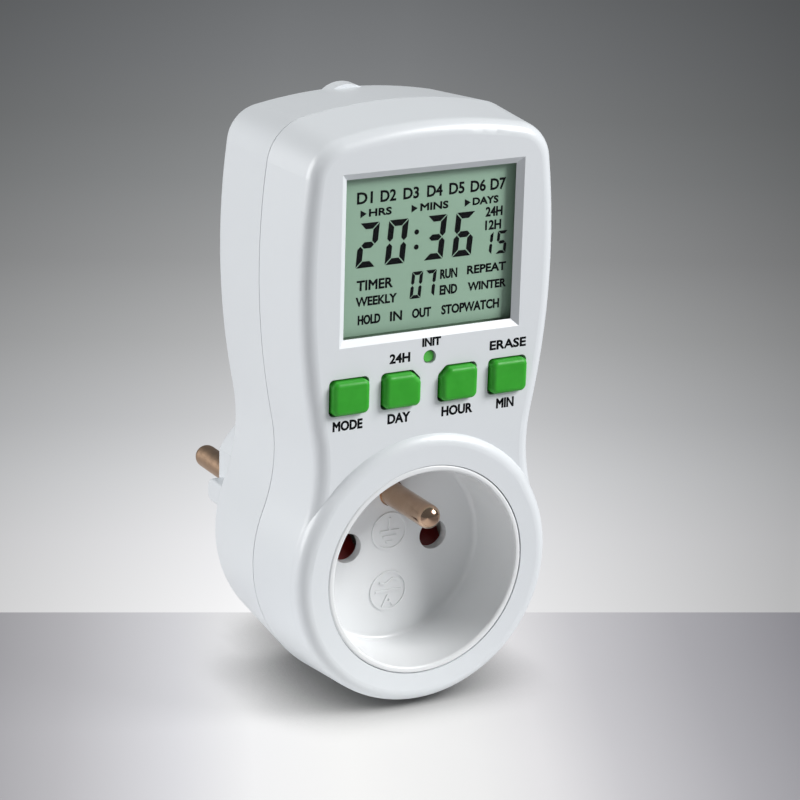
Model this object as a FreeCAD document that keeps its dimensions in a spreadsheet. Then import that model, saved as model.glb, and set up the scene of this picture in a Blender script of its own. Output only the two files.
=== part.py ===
import FreeCAD, Part
import math
import os
import re
import Sketcher
from FreeCAD import Rotation, Vector

# A digital plug-in timer: an earthed socket in front, an earthed plug behind.
# Millimetres. X runs to the right seen from the front, Y towards the wall, Z up.
# The origin is the middle of the plug's end face, on the line of its two pins.
# "Forward" sizes are measured from that face towards the user, so Y is minus forward.

DRIVING = (
    ("plug_length", 21.4, "rear of the housing to the plug's end face"),
    ("housing_depth", 39.6, "collar plane to the rear of the housing"),
    ("seam_depth", 17.4, "collar plane to the parting line"),
    ("face_recess", 1.2, "main face behind the collar plane"),
    ("wall", 2.0, "thickness of the moulded walls"),
    ("front_round", 2.7, "rounding of the front edge"),
    ("rear_round", 1.9, "rounding of the rear edge"),
    ("seam_growth", 1.2, "draft of the outline from the face to the parting line"),
    ("rear_growth", -0.85, "draft of the outline from the face to the rear"),
    ("seam_gap", 0.2, "open groove of the parting line"),
    ("lip_height", 1.5, "lip of the rear shell inside the front one"),
    ("lip_thickness", 1.25, "thickness of that lip"),
    ("fit_gap", 0.15, "clearance between fixed mouldings"),
    ("collar_width", 6.09, "cup's rim to the outline round it"),
    ("collar_skirt", 6.0, "depth of the collar's own body"),
    ("collar_inset", 0.03, "collar inside the draft of the housing"),
    ("waist_pinch", 4.2, "waist narrower than the socket end, each side"),
    ("waist_above_rim", 1.34, "waist above the top of the cup's rim"),
    ("side_margin", 8.75, "display window to the widest outline"),
    ("widest_below_middle", 3.5, "widest outline below the display's middle"),
    ("head_room", 9.37, "display window to the crown of the top edge"),
    ("top_radius", 97.6, "curve of the top edge"),
    ("corner_radius", 8.0, "upper corners"),
    ("lug_radius", 6.4, "curve of the lug on the top edge"),
    ("lug_rise", 1.0, "lug above the rear top edge"),
    ("lug_depth", 3.2, "lug along the top edge"),
    ("rim_radius", 21.06, "outside of the cup's rim"),
    ("rim_width", 1.26, "thickness of the cup's side"),
    ("cup_draft", 0.6, "cup narrower at its floor"),
    ("cup_depth", 14.4, "collar plane to the cup's floor"),
    ("cup_floor", 2.0, "thickness of the cup's floor"),
    ("cup_round", 1.0, "rounding between the cup's floor and side"),
    ("rim_round", 0.45, "rounding of the cup's rim"),
    ("collar_round", 2.6, "rounding of the raised collar"),
    ("ear_thickness", 1.6, "ears that carry the cup's screws"),
    ("pole_spacing", 19.0, "between the two holes, and between the two pins"),
    ("hole_line", 1.0, "holes above the middle of the cup"),
    ("hole_radius", 3.0, "round holes in the cup's floor"),
    ("earth_offset", 10.0, "earth contact above the line of the poles"),
    ("pin_radius", 2.4, "pins of the plug and of the earth contact"),
    ("pin_nose", 2.3, "rounding of a pin's tip"),
    ("plug_pin_length", 19.0, "pins beyond the plug's end face"),
    ("earth_pin_length", 16.6, "earth pin beyond the cup's floor"),
    ("pin_root_radius", 2.6, "pins where they pass through their wall"),
    ("pin_root_setback", 0.1, "that stretch ends below the wall's face"),
    ("pin_running_gap", 0.05, "round a pin that passes through a wall"),
    ("pin_flange_radius", 3.5, "flange that holds a pin behind its wall"),
    ("pin_flange", 1.2, "thickness of that flange"),
    ("pin_tail", 5.5, "plug pin behind its flange"),
    ("tail_radius", 1.7, "radius of a pin's tail"),
    ("rivet_proud", 0.8, "tail beyond the strip riveted to it"),
    ("plug_radius", 17.2, "round part of the plug body"),
    ("plug_flat", 15.2, "flat sides of the plug body"),
    ("plug_rib_reach", 17.9, "guide ribs on the flats"),
    ("plug_rib_height", 4.8, "height of a guide rib"),
    ("plug_rib_setback", 1.2, "guide rib behind the plug's end face"),
    ("plug_rib_round", 1.8, "rounding of a guide rib's end"),
    ("plug_rib_edge", 0.5, "rounding along a guide rib"),
    ("plug_end_wall", 3.0, "thickness of the plug's end wall"),
    ("plug_round", 1.4, "rounding of the plug's end"),
    ("earth_hole_radius", 2.9, "hole for the wall socket's earth pin"),
    ("earth_sleeve_radius", 2.5, "inside of the sleeve behind that hole"),
    ("clip_width", 4.4, "side earth contacts of the plug"),
    ("metal", 0.6, "thickness of the contacts and strips"),
    ("clip_slot_gap", 0.4, "slot round a side contact"),
    ("clip_setback", 3.6, "side contact behind the plug's end face"),
    ("clip_length", 14.1, "length of a side contact"),
    ("clip_bow", 0.35, "crown of a side contact"),
    ("sleeve_wall", 0.35, "thickness of that sleeve"),
    ("sleeve_slot", 1.0, "slot along that sleeve"),
    ("base_thickness", 2.5, "plate that holds the pins of the plug"),
    ("base_screw_drop", 7.5, "screw of that plate below the pins"),
    ("rear_skin", 1.0, "wall left behind a pilot hole"),
    ("shutter_gap", 0.3, "shutter behind the cup's floor"),
    ("shutter_travel", 6.8, "how far the shutter slides down"),
    ("shutter_reach", 13.0, "half width of the shutter"),
    ("shutter_side_gap", 0.35, "shutter to its guide"),
    ("shutter_foot", 3.6, "height of the shutter below its slopes"),
    ("shutter_corner", 0.6, "rounding of the shutter's inner corners"),
    ("guide_wall", 1.2, "walls of the shutter guide"),
    ("spring_radius", 1.55, "coil radius of the shutter spring"),
    ("spring_wire", 0.2, "wire radius of the shutter spring"),
    ("spring_turns", 6, "turns of the shutter spring"),
    ("spring_pocket", 2.6, "depth of the spring's pocket in the shutter"),
    ("contact_gap", 2.55, "narrowest half gap of a socket contact"),
    ("contact_flare", 0.6, "wider at the root and the mouth"),
    ("contact_pinch", 0.7, "place of the pinch along a blade"),
    ("contact_height", 5.0, "height of a contact blade"),
    ("cage_wall", 0.9, "walls of the cage round a contact"),
    ("display_width", 35.9, "visible window"),
    ("display_height", 30.35, "visible window"),
    ("display_above_keys", 10.77, "window's lower edge above the row of keys"),
    ("window_recess", 1.0, "lens behind the main face"),
    ("bezel_slope", 1.3, "width of the sloping frame"),
    ("lens_margin", 1.2, "lens beyond the visible window"),
    ("lens_corner", 0.8, "corners of the lens"),
    ("lens_thickness", 1.2, "clear lens"),
    ("cell_thickness", 2.6, "display cell"),
    ("cell_side_margin", 1.8, "cell beyond the window at each side"),
    ("cell_end_margin", 1.0, "cell beyond the window above and below"),
    ("holder_wall", 0.9, "frame round the cell"),
    ("strip_width", 2.0, "elastomer strips behind the cell"),
    ("strip_depth", 3.9, "control board to the cell"),
    ("board_thickness", 1.6, "both printed boards"),
    ("control_side_room", 5.4, "control board inside the widest outline"),
    ("control_head_room", 3.65, "control board below the crown"),
    ("shoulder_drop", 4.2, "shoulders below the control board's head"),
    ("tab_head", 11.0, "half width of the control board's upper tab"),
    ("tab_foot", 14.5, "half width of its lower tab"),
    ("board_below_keys", 3.55, "lower shoulder below the row of keys"),
    ("tab_foot_length", 4.8, "length of the lower tab"),
    ("chip_radius", 7.5, "covered controller"),
    ("chip_rise", 2.0, "height of its cover"),
    ("flank_share_of_rise", 0.55, "share of that height at the cover's flank"),
    ("flank_share_of_radius", 0.86, "share of the radius there"),
    ("brow_share_of_rise", 0.9, "share of the height where the cover flattens"),
    ("brow_share_of_radius", 0.5, "share of the radius there"),
    ("chip_side", 9.0, "controller along X"),
    ("key_above_rim", 15.69, "row of keys above the top of the cup's rim"),
    ("inner_key_place", 6.1, "middle of the two inner keys"),
    ("outer_key_place", 17.0, "middle of the two outer keys"),
    ("key_width", 7.8, "key cap"),
    ("key_height", 6.6, "key cap"),
    ("key_rise", 1.5, "key cap above the main face"),
    ("key_gap", 0.3, "opening round a key cap"),
    ("key_flange", 0.6, "flange round a key cap"),
    ("key_flange_thickness", 1.0, "flange behind the front wall"),
    ("key_corner", 1.3, "upright corners of a key cap"),
    ("key_crown", 1.0, "front edge of a key cap"),
    ("key_corner_cut", 1.7, "corner left off the inner keys"),
    ("rest_gap", 0.3, "key to the wall before it and the dome behind it"),
    ("reset_above_keys", 5.65, "reset key above the row of keys"),
    ("reset_hole_radius", 1.35, "hole of the reset key"),
    ("reset_gap", 0.25, "round the reset key"),
    ("reset_recess", 0.5, "reset key behind the main face"),
    ("reset_flange", 0.4, "flange round the reset key"),
    ("mat_thickness", 0.9, "dome mat"),
    ("mat_inset", 0.4, "dome mat inside the control board"),
    ("mat_margin", 1.2, "dome mat above the reset key"),
    ("dome_radius", 2.9, "foot of a dome"),
    ("dome_top_radius", 1.6, "top of a dome"),
    ("reset_dome_radius", 1.0, "dome under the reset key"),
    ("boss_radius", 2.0, "upper bosses of the front shell"),
    ("low_boss_radius", 1.95, "bosses between the cup and the wall"),
    ("rear_boss_radius", 2.6, "bosses of the rear shell"),
    ("ring_gap", 0.4, "cup's rim to the bosses round it"),
    ("high_boss_inset", 12.7, "upper screws inside the widest outline"),
    ("high_boss_drop", 5.0, "upper screws below the crown"),
    ("screw_core", 0.85, "pilot hole of a screw"),
    ("screw_shank", 0.8, "radius of a screw"),
    ("screw_passage", 1.2, "clearance hole of a screw"),
    ("screw_head_radius", 1.6, "head of a screw"),
    ("screw_head", 1.3, "height of a screw's head"),
    ("screw_bite", 4.5, "screw inside its boss"),
    ("core_spare", 0.6, "pilot hole beyond the screw's tip"),
    ("head_well_radius", 1.95, "well for a housing screw's head"),
    ("head_well_depth", 4.0, "depth of that well"),
    ("post_radius", 1.7, "posts that carry the boards"),
    ("low_post_side", 11.5, "lower posts of the control board"),
    ("high_post_side", 7.0, "upper posts of the control board"),
    ("post_inset", 2.2, "posts inside a board's edge"),
    ("tab_post_shift", 0.6, "upper posts of the control board nearer its edge"),
    ("foot_post_shift", 0.4, "lower posts of the power board farther inside"),
    ("solder_room", 3.6, "power board before the rear wall"),
    ("power_side_room", 7.3, "power board inside the widest outline"),
    ("power_below_keys", 5.15, "power board's foot below the row of keys"),
    ("power_head_room", 8.65, "power board below the crown"),
    ("board_corner", 1.5, "corners of the power board"),
    ("lead_radius", 0.4, "legs of the parts on the power board"),
    ("lead_gap", 0.05, "round a leg in its hole"),
    ("lead_proud", 1.0, "legs behind the power board"),
    ("leg_inset", 1.8, "legs inside the edge of their part"),
    ("part_edge", 0.6, "rounded edges of the moulded parts"),
    ("relay_width", 12.8, "relay"),
    ("relay_length", 29.0, "relay"),
    ("relay_height", 15.7, "relay"),
    ("relay_left", -14.6, "left side of the relay"),
    ("relay_rise", 5.8, "relay above the board's foot"),
    ("dropper_width", 14.0, "film capacitor"),
    ("dropper_thickness", 7.0, "film capacitor"),
    ("dropper_height", 14.0, "film capacitor"),
    ("dropper_left", 0.6, "left side of the film capacitor"),
    ("dropper_gap", 0.4, "film capacitor above the pins of the strips"),
    ("smoother_radius", 5.0, "electrolytic capacitor"),
    ("smoother_height", 12.5, "electrolytic capacitor"),
    ("can_bevel", 0.5, "bevelled ends and groove of the can"),
    ("can_groove", 2.0, "groove of the can from its foot"),
    ("smoother_side", 6.4, "electrolytic capacitor along X"),
    ("smoother_rise", 16.0, "electrolytic capacitor above the board's foot"),
    ("varistor_radius", 4.6, "varistor disc"),
    ("varistor_thickness", 3.6, "varistor disc"),
    ("varistor_side", -8.0, "varistor along X"),
    ("varistor_rise", 40.8, "varistor above the board's foot"),
    ("battery_radius", 5.4, "button cells"),
    ("battery_cell", 4.6, "one button cell"),
    ("battery_joint", 0.35, "tag between two cells"),
    ("battery_left", -1.0, "left end of the battery"),
    ("battery_rise", 40.4, "battery above the board's foot"),
    ("diode_radius", 1.3, "diode"),
    ("diode_length", 5.0, "diode"),
    ("diode_left", 1.6, "first diode along X"),
    ("diode_pitch", 3.6, "between two diodes"),
    ("diode_rise", 25.9, "diodes above the board's foot"),
    ("resistor_radius", 1.2, "resistor"),
    ("resistor_length", 6.3, "resistor"),
    ("resistor_side", 16.5, "resistors along X"),
    ("resistor_rise", 13.9, "first resistor above the board's foot"),
    ("resistor_pitch", 11.4, "between two resistors"),
    ("wire_overhang", 1.4, "wire beyond a diode or resistor before it turns down"),
    ("body_clearance", 0.3, "diodes, resistors and battery before the board"),
    ("link_pitch", 2.54, "pins that join the boards"),
    ("link_pin", 0.64, "square of a joining pin"),
    ("link_rise", 32.6, "joining pins above the board's foot"),
    ("link_left", 0.6, "first joining pin along X"),
    ("strap_width", 3.0, "strips that carry the current"),
    ("strap_room", 1.0, "strips before the rear wall"),
    ("strap_height", 2.8, "strips above the line of the plug's pins"),
    ("live_side", 13.4, "live strip where it rises"),
    ("switched_side", 7.0, "switched strip where it rises"),
    ("eyelet_margin", 1.2, "eyelet round a pin's tail"),
    ("strap_overlap", 4.4, "strips beyond the power board's foot"),
)

DERIVED = (
    ("collar_forward", "plug_length + housing_depth"),
    ("face_forward", "collar_forward - face_recess"),
    ("face_inner", "face_forward - wall"),
    ("seam_forward", "collar_forward - seam_depth"),
    ("rear_inner", "plug_length + wall"),
    ("floor_forward", "collar_forward - cup_depth"),
    ("cup_back", "floor_forward - cup_floor"),
    ("mouth_radius", "rim_radius - rim_width"),
    ("floor_radius", "mouth_radius - cup_draft"),
    ("earth_height", "hole_line + earth_offset"),
    ("pole_side", "pole_spacing / 2"),
    ("key_row", "rim_radius + key_above_rim"),
    ("reset_height", "key_row + reset_above_keys"),
    ("display_middle", "key_row + display_above_keys + display_height / 2"),
    ("top_height", "display_middle + display_height / 2 + head_room"),
    ("socket_end_radius", "rim_radius + collar_width"),
    ("waist_half_width", "socket_end_radius - waist_pinch"),
    ("waist_height", "rim_radius + waist_above_rim"),
    ("upper_half_width", "display_width / 2 + side_margin"),
    ("upper_widest_height", "display_middle - widest_below_middle"),
    ("waist_radius", "(waist_height^2 + waist_half_width^2 - socket_end_radius^2)"
     " / (2 * (socket_end_radius - waist_half_width))"),
    ("waist_centre", "waist_half_width + waist_radius"),
    ("side_rise", "upper_widest_height - waist_height"),
    ("side_swell", "upper_half_width - waist_half_width"),
    ("side_radius", "(side_rise^2 + side_swell^2) / (2 * side_swell) - waist_radius"),
    ("side_centre", "upper_half_width - side_radius"),
    ("top_centre", "top_height - top_radius"),
    ("draft_slope", "seam_growth / (face_forward - seam_forward)"),
    ("shutter_front", "cup_back - shutter_gap"),
    ("shutter_back", "shutter_front - shutter_travel"),
    ("shutter_low_edge", "hole_line - hole_radius"),
    ("shutter_high_edge", "shutter_low_edge + shutter_travel"),
    ("shutter_foot_height", "shutter_low_edge - shutter_foot"),
    ("shutter_step", "pole_side - hole_radius - shutter_corner"),
    ("guide_floor", "shutter_foot_height - shutter_travel - shutter_side_gap"),
    ("guide_side", "shutter_reach + shutter_side_gap + guide_wall"),
    ("guide_back", "shutter_back - shutter_side_gap - guide_wall"),
    ("guide_top", "earth_height + pin_flange_radius"),
    ("spring_top", "shutter_foot_height + spring_pocket"),
    ("window_forward", "face_forward - window_recess"),
    ("lens_back", "window_forward - lens_thickness"),
    ("cell_front", "lens_back - rest_gap"),
    ("cell_back", "cell_front - cell_thickness"),
    ("cell_half_width", "display_width / 2 + cell_side_margin"),
    ("cell_half_height", "display_height / 2 + cell_end_margin"),
    ("control_front", "cell_back - strip_depth"),
    ("control_back", "control_front - board_thickness"),
    ("control_reach", "upper_half_width - control_side_room"),
    ("control_head", "top_height - control_head_room"),
    ("control_shoulder_high", "control_head - shoulder_drop"),
    ("control_shoulder_low", "key_row - board_below_keys"),
    ("control_foot", "control_shoulder_low - tab_foot_length"),
    ("control_post_low", "control_foot + post_inset"),
    ("control_post_high", "control_head - post_inset + tab_post_shift"),
    ("key_back", "face_inner - rest_gap - key_flange_thickness"),
    ("dome_top", "key_back - rest_gap"),
    ("mat_front", "control_front + mat_thickness"),
    ("reset_radius", "reset_hole_radius - reset_gap"),
    ("mat_head", "reset_height + mat_margin"),
    ("boss_ring", "rim_radius + ring_gap + low_boss_radius"),
    ("low_boss_place", "boss_ring * sqrt(0.5)"),
    ("high_boss_side", "upper_half_width - high_boss_inset"),
    ("high_boss_height", "top_height - high_boss_drop"),
    ("boss_meeting", "seam_forward + lip_height"),
    ("power_back", "rear_inner + solder_room"),
    ("contact_root", "power_back - fit_gap"),
    ("contact_length", "guide_back - fit_gap - contact_root"),
    ("power_front", "power_back + board_thickness"),
    ("power_reach", "upper_half_width - power_side_room"),
    ("power_foot", "key_row - power_below_keys"),
    ("power_head", "top_height - power_head_room"),
    ("power_post_side", "power_reach - post_inset"),
    ("dropper_rise", "2 * strap_overlap / 3 + lead_radius + dropper_gap"),
    ("power_post_low", "power_foot + post_inset + foot_post_shift"),
    ("power_post_high", "power_head - post_inset"),
    ("strap_rear", "rear_inner + strap_room"),
    ("clip_reach", "plug_radius - clip_slot_gap"),
    ("bridge_rear", "clip_setback + clip_length"),
    ("bridge_front", "bridge_rear + metal"),
    ("clip_slot_start", "plug_radius + wall"),
    ("clip_slot_floor", "plug_flat - wall - rest_gap"),
    ("base_rear", "plug_end_wall + pin_flange + fit_gap"),
    ("cage_half_width", "contact_gap + contact_flare + metal + fit_gap"),
    ("cage_half_height", "contact_height / 2 + fit_gap"),
    ("link_hole_radius", "link_pin * sqrt(0.5) + lead_gap"),
    ("eyelet_rear", "plug_end_wall + pin_flange + pin_tail - rivet_proud - metal"),
)

NAMES = {row[0] for row in DRIVING} | {row[0] for row in DERIVED}
SOLID_CUTS = ("PartDesign::Pocket", "PartDesign::SubtractiveLoft", "PartDesign::Groove")

doc = FreeCAD.newDocument("PlugInTimer")
sheet = doc.addObject("Spreadsheet::Sheet", "Sizes")


def fill_sheet():
    """Write every size into the sheet, with its name as the alias of its cell."""
    row = 1
    for name, size, remark in DRIVING:
        sheet.set("A%d" % row, name)
        sheet.set("B%d" % row, str(size))
        sheet.set("C%d" % row, remark)
        sheet.setAlias("B%d" % row, name)
        row += 1
    for name, text in DERIVED:
        sheet.set("A%d" % row, name)
        sheet.set("B%d" % row, "=" + text)
        sheet.setAlias("B%d" % row, name)
        row += 1
    doc.recompute()


def formula(text):
    """Spell out the sheet before each named size in a formula."""
    def spelled(word):
        return "Sizes." + word.group() if word.group() in NAMES else word.group()
    return re.sub(r"[a-z][a-z_]*", spelled, text)


def value(text):
    """Work out a formula of named sizes as a number."""
    return float(sheet.evalExpression(formula(text)))


def bind(thing, path, text):
    thing.setExpression(path, formula(text))


def place(thing, x="0", forward="0", z="0"):
    """Put a sub-part at a point given by formulas."""
    bind(thing, "Placement.Base.x", x)
    bind(thing, "Placement.Base.y", "-(%s)" % forward)
    bind(thing, "Placement.Base.z", z)


def new_body(label):
    body = doc.addObject("PartDesign::Body", label)
    body.Label = label
    return body


def new_sketch(body, name, role="XZ_Plane", offset="0"):
    """Add a sketch on one of the body's own planes, moved along its normal.

    On XZ_Plane a sketch's axes are X and Z and it moves forward, on YZ_Plane they are
    Y and Z and it moves along X, and on XY_Plane they are X and Y and it moves up.
    """
    sketch = body.newObject("Sketcher::SketchObject", body.Label + "_" + name)
    plane = [part for part in body.Origin.OriginFeatures if part.Role == role][0]
    sketch.AttachmentSupport = [(plane, "")]
    sketch.MapMode = "FlatFace"
    bind(sketch, "AttachmentOffset.Base.z", offset)
    return sketch


def hold_point(sketch, index, position, x, y):
    """Tie one point of the sketch to two formulas."""
    for kind, text in (("DistanceX", x), ("DistanceY", y)):
        size = value(text)
        number = sketch.addConstraint(Sketcher.Constraint(kind, -1, 1, index, position, size))
        bind(sketch, "Constraints[%d]" % number, text)


def draw_polygon(sketch, points):
    """Draw a closed run of lines through points given as pairs of formulas."""
    first = sketch.GeometryCount
    spots = [Vector(value(x), value(y), 0) for x, y in points]
    count = len(spots)
    for index in range(count):
        sketch.addGeometry(Part.LineSegment(spots[index], spots[(index + 1) % count]))
    for index in range(count):
        following = first + (index + 1) % count
        sketch.addConstraint(Sketcher.Constraint("Coincident", first + index, 2, following, 1))
    for index, (x, y) in enumerate(points):
        hold_point(sketch, first + index, 1, x, y)


def draw_rectangle(sketch, left, right, low, high):
    draw_polygon(sketch, [(left, low), (right, low), (right, high), (left, high)])


def draw_circle(sketch, x, y, radius):
    index = sketch.addGeometry(Part.Circle(Vector(value(x), value(y), 0), Vector(0, 0, 1), value(radius)))
    number = sketch.addConstraint(Sketcher.Constraint("Radius", index, value(radius)))
    bind(sketch, "Constraints[%d]" % number, radius)
    hold_point(sketch, index, 3, x, y)


def crossing(first, first_radius, second, second_radius):
    """The right-hand point that lies at the given distances from two centres."""
    apart = second - first
    along = (first_radius ** 2 - second_radius ** 2 + apart.Length ** 2) / (2 * apart.Length)
    across = math.sqrt(first_radius ** 2 - along ** 2)
    step = apart / apart.Length
    side = Vector(-step.y, step.x, 0)
    spots = [first + step * along + side * across, first + step * along - side * across]
    return max(spots, key=lambda spot: spot.x)


def heading(start, end):
    return math.atan2(end.y - start.y, end.x - start.x)


def draw_outline(sketch, growth):
    """Draw the housing's outline as eight tangent arcs, moved outwards by a growth."""
    first = sketch.GeometryCount
    grow = value(growth)
    foot = Vector(0, 0, 0)
    waist = Vector(value("waist_centre"), value("waist_height"), 0)
    flank = Vector(value("side_centre"), value("upper_widest_height"), 0)
    crown = Vector(0, value("top_centre"), 0)
    corner = crossing(flank, value("side_radius - corner_radius"),
                      crown, value("top_radius - corner_radius"))
    turns = (heading(foot, waist), heading(waist, flank), heading(flank, corner), heading(crown, corner))
    right = [
        (waist, value("waist_radius") - grow, turns[1], turns[0] + math.pi),
        (flank, value("side_radius") + grow, turns[1] - math.pi, turns[2]),
        (corner, value("corner_radius") + grow, turns[2], turns[3]),
    ]
    left = [(Vector(-spot.x, spot.y, 0), radius, math.pi - end, math.pi - start)
            for spot, radius, start, end in reversed(right)]
    foot_arc = (foot, value("socket_end_radius") + grow, math.pi - turns[0], 2 * math.pi + turns[0])
    crown_arc = (crown, value("top_radius") + grow, turns[3], math.pi - turns[3])
    for spot, radius, start, end in [foot_arc] + right + [crown_arc] + left:
        circle = Part.Circle(spot, Vector(0, 0, 1), radius)
        sketch.addGeometry(Part.ArcOfCircle(circle, start, end))
    joins = ((0, 2, 1, 2), (1, 1, 2, 1), (2, 2, 3, 1), (3, 2, 4, 1),
             (4, 2, 5, 1), (5, 2, 6, 1), (6, 2, 7, 2), (7, 1, 0, 1))
    for one, one_end, other, other_end in joins:
        sketch.addConstraint(
            Sketcher.Constraint("Tangent", first + one, one_end, first + other, other_end))
    sketch.addConstraint(Sketcher.Constraint("Coincident", first, 3, -1, 1))
    hold_point(sketch, first + 1, 3, "waist_centre", "waist_height")
    hold_point(sketch, first + 2, 3, "side_centre", "upper_widest_height")
    hold_point(sketch, first + 4, 3, "0", "top_centre")
    for index, text in ((0, "socket_end_radius"), (3, "corner_radius"), (4, "top_radius")):
        radius = "%s + (%s)" % (text, growth)
        number = sketch.addConstraint(Sketcher.Constraint("Radius", first + index, value(radius)))
        bind(sketch, "Constraints[%d]" % number, radius)
    sketch.addConstraint(Sketcher.Constraint("Symmetric", first + 1, 3, first + 7, 3, -2))
    sketch.addConstraint(Sketcher.Constraint("Symmetric", first + 2, 3, first + 6, 3, -2))
    sketch.addConstraint(Sketcher.Constraint("Equal", first + 3, first + 5))


def add_feature(body, kind, name, sketch):
    feature = body.newObject(kind, body.Label + "_" + name)
    feature.Profile = sketch
    sketch.Visibility = False
    body.Tip = feature
    return feature


def pad(body, sketch, name, length, to_rear=False):
    """Add material along the sketch's normal, or against it."""
    feature = add_feature(body, "PartDesign::Pad", name, sketch)
    feature.Reversed = to_rear
    bind(feature, "Length", length)
    return feature


def pocket(body, sketch, name, length, to_front=False):
    """Cut against the sketch's normal, or along it."""
    feature = add_feature(body, "PartDesign::Pocket", name, sketch)
    feature.Reversed = to_front
    bind(feature, "Length", length)
    return feature


def loft(body, sketches, name, cut=False):
    kind = "PartDesign::SubtractiveLoft" if cut else "PartDesign::AdditiveLoft"
    feature = add_feature(body, kind, name, sketches[0])
    feature.Sections = sketches[1:]
    feature.Ruled = True
    return feature


def revolve(body, sketch, name, cut=False, axis="H_Axis"):
    kind = "PartDesign::Groove" if cut else "PartDesign::Revolution"
    feature = add_feature(body, kind, name, sketch)
    feature.ReferenceAxis = (sketch, [axis])
    feature.Angle = 360
    return feature


def round_edges(body, name, radius, wanted):
    """Round the edges of the body's last feature that pass a test."""
    doc.recompute()
    base = body.Tip
    names = ["Edge%d" % (number + 1) for number, edge in enumerate(base.Shape.Edges) if wanted(edge)]
    if not names:
        raise ValueError("no edge to round for " + name)
    feature = body.newObject("PartDesign::Fillet", body.Label + "_" + name)
    feature.Base = (base, names)
    bind(feature, "Radius", radius)
    body.Tip = feature
    return feature


def lies_at(forward):
    """A test for edges that lie in one plane across the depth."""
    depth = -value(forward)

    def wanted(edge):
        box = edge.BoundBox
        return abs(box.YMin - depth) < 0.01 and abs(box.YMax - depth) < 0.01
    return wanted


def runs_deep(edge):
    """True for a straight edge that runs along Y."""
    box = edge.BoundBox
    return box.XLength < 0.01 and box.ZLength < 0.01 and box.YLength > 0.1


def crosses_rib_end(edge):
    """True for the upper and lower edge across the end of a guide rib."""
    return lies_at("plug_rib_setback")(edge) and edge.BoundBox.ZLength < 0.01


def runs_along_rib(edge):
    """True for an edge round the outer side of a guide rib, short of the housing."""
    box = edge.BoundBox
    outer = box.XLength < 0.01 and abs(abs(box.XMin) - value("plug_rib_reach")) < 0.01
    return outer and not lies_at("plug_length")(edge)


def near(spots, reach=0.3):
    """A test for edges along Y that stand at one of the given points of the front view."""
    def wanted(edge):
        middle = edge.BoundBox.Center
        return runs_deep(edge) and any(
            math.hypot(middle.x - x, middle.z - z) < reach for x, z in spots)
    return wanted


def make_box(name, left, right, rear, front, low, high):
    """A plain block between six formulas, rear and front measured forward."""
    block = doc.addObject("Part::Box", name)
    bind(block, "Length", "(%s) - (%s)" % (right, left))
    bind(block, "Width", "(%s) - (%s)" % (front, rear))
    bind(block, "Height", "(%s) - (%s)" % (high, low))
    place(block, left, front, low)
    return block


def make_rod(name, radius, length, x, forward, z, axis="forward"):
    """A cylinder that starts at a point and runs forward, to the right or up."""
    rod = doc.addObject("Part::Cylinder", name)
    bind(rod, "Radius", radius)
    bind(rod, "Height", length)
    turns = {
        "forward": Rotation(Vector(1, 0, 0), 90),
        "right": Rotation(Vector(0, 1, 0), 90),
        "up": Rotation(),
    }
    rod.Placement.Rotation = turns[axis]
    place(rod, x, forward, z)
    return rod


def join(name, parts):
    whole = doc.addObject("Part::MultiFuse", name)
    whole.Shapes = parts
    whole.Label = name
    return whole


def group(name, parts):
    """Several separate solids in one sub-part."""
    whole = doc.addObject("Part::Compound", name)
    whole.Links = parts
    whole.Label = name
    return whole


def housing_screw_places():
    return [("high_boss_side", "high_boss_height", "boss_radius"),
            ("-high_boss_side", "high_boss_height", "boss_radius"),
            ("low_boss_place", "-low_boss_place", "low_boss_radius"),
            ("-low_boss_place", "-low_boss_place", "low_boss_radius")]


def cup_screw_places():
    return [("low_boss_place", "low_boss_place"), ("-low_boss_place", "low_boss_place"),
            ("0", "-boss_ring")]


def control_post_places():
    return [(sign + side, height) for sign in ("", "-") for side, height in (
        ("low_post_side", "control_post_low"),
        ("high_post_side", "control_post_high"))]


def power_post_places():
    return [(sign + "power_post_side", height)
            for sign in ("", "-") for height in ("power_post_low", "power_post_high")]


KEYS = (
    ("key_set", "-outer_key_place", ""),
    ("key_day", "-inner_key_place", "right"),
    ("key_hour", "inner_key_place", "left"),
    ("key_minute", "outer_key_place", ""),
)


def key_corners(x, z, grow, cut):
    """The corners of a key's outline, one of them cut off on the two inner keys."""
    left = "%s - key_width / 2 - (%s)" % (x, grow)
    right = "%s + key_width / 2 + (%s)" % (x, grow)
    low = "%s - key_height / 2 - (%s)" % (z, grow)
    high = "%s + key_height / 2 + (%s)" % (z, grow)
    corners = [(left, low), (right, low)]
    if cut == "right":
        corners += [(right, high + " - key_corner_cut"), (right + " - key_corner_cut", high)]
    else:
        corners += [(right, high)]
    if cut == "left":
        corners += [(left + " + key_corner_cut", high), (left, high + " - key_corner_cut")]
    else:
        corners += [(left, high)]
    return corners


def circles(body, name, offset, spots):
    """A sketch across the depth with one circle for each centre and radius."""
    sketch = new_sketch(body, name, offset=offset)
    for x, z, radius in spots:
        draw_circle(sketch, x, z, radius)
    return sketch


def draw_window(sketch, grow):
    """The display window's rectangle, moved outwards by a growth."""
    draw_rectangle(
        sketch,
        "-display_width / 2 - (%s)" % grow, "display_width / 2 + (%s)" % grow,
        "display_middle - display_height / 2 - (%s)" % grow,
        "display_middle + display_height / 2 + (%s)" % grow)


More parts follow.
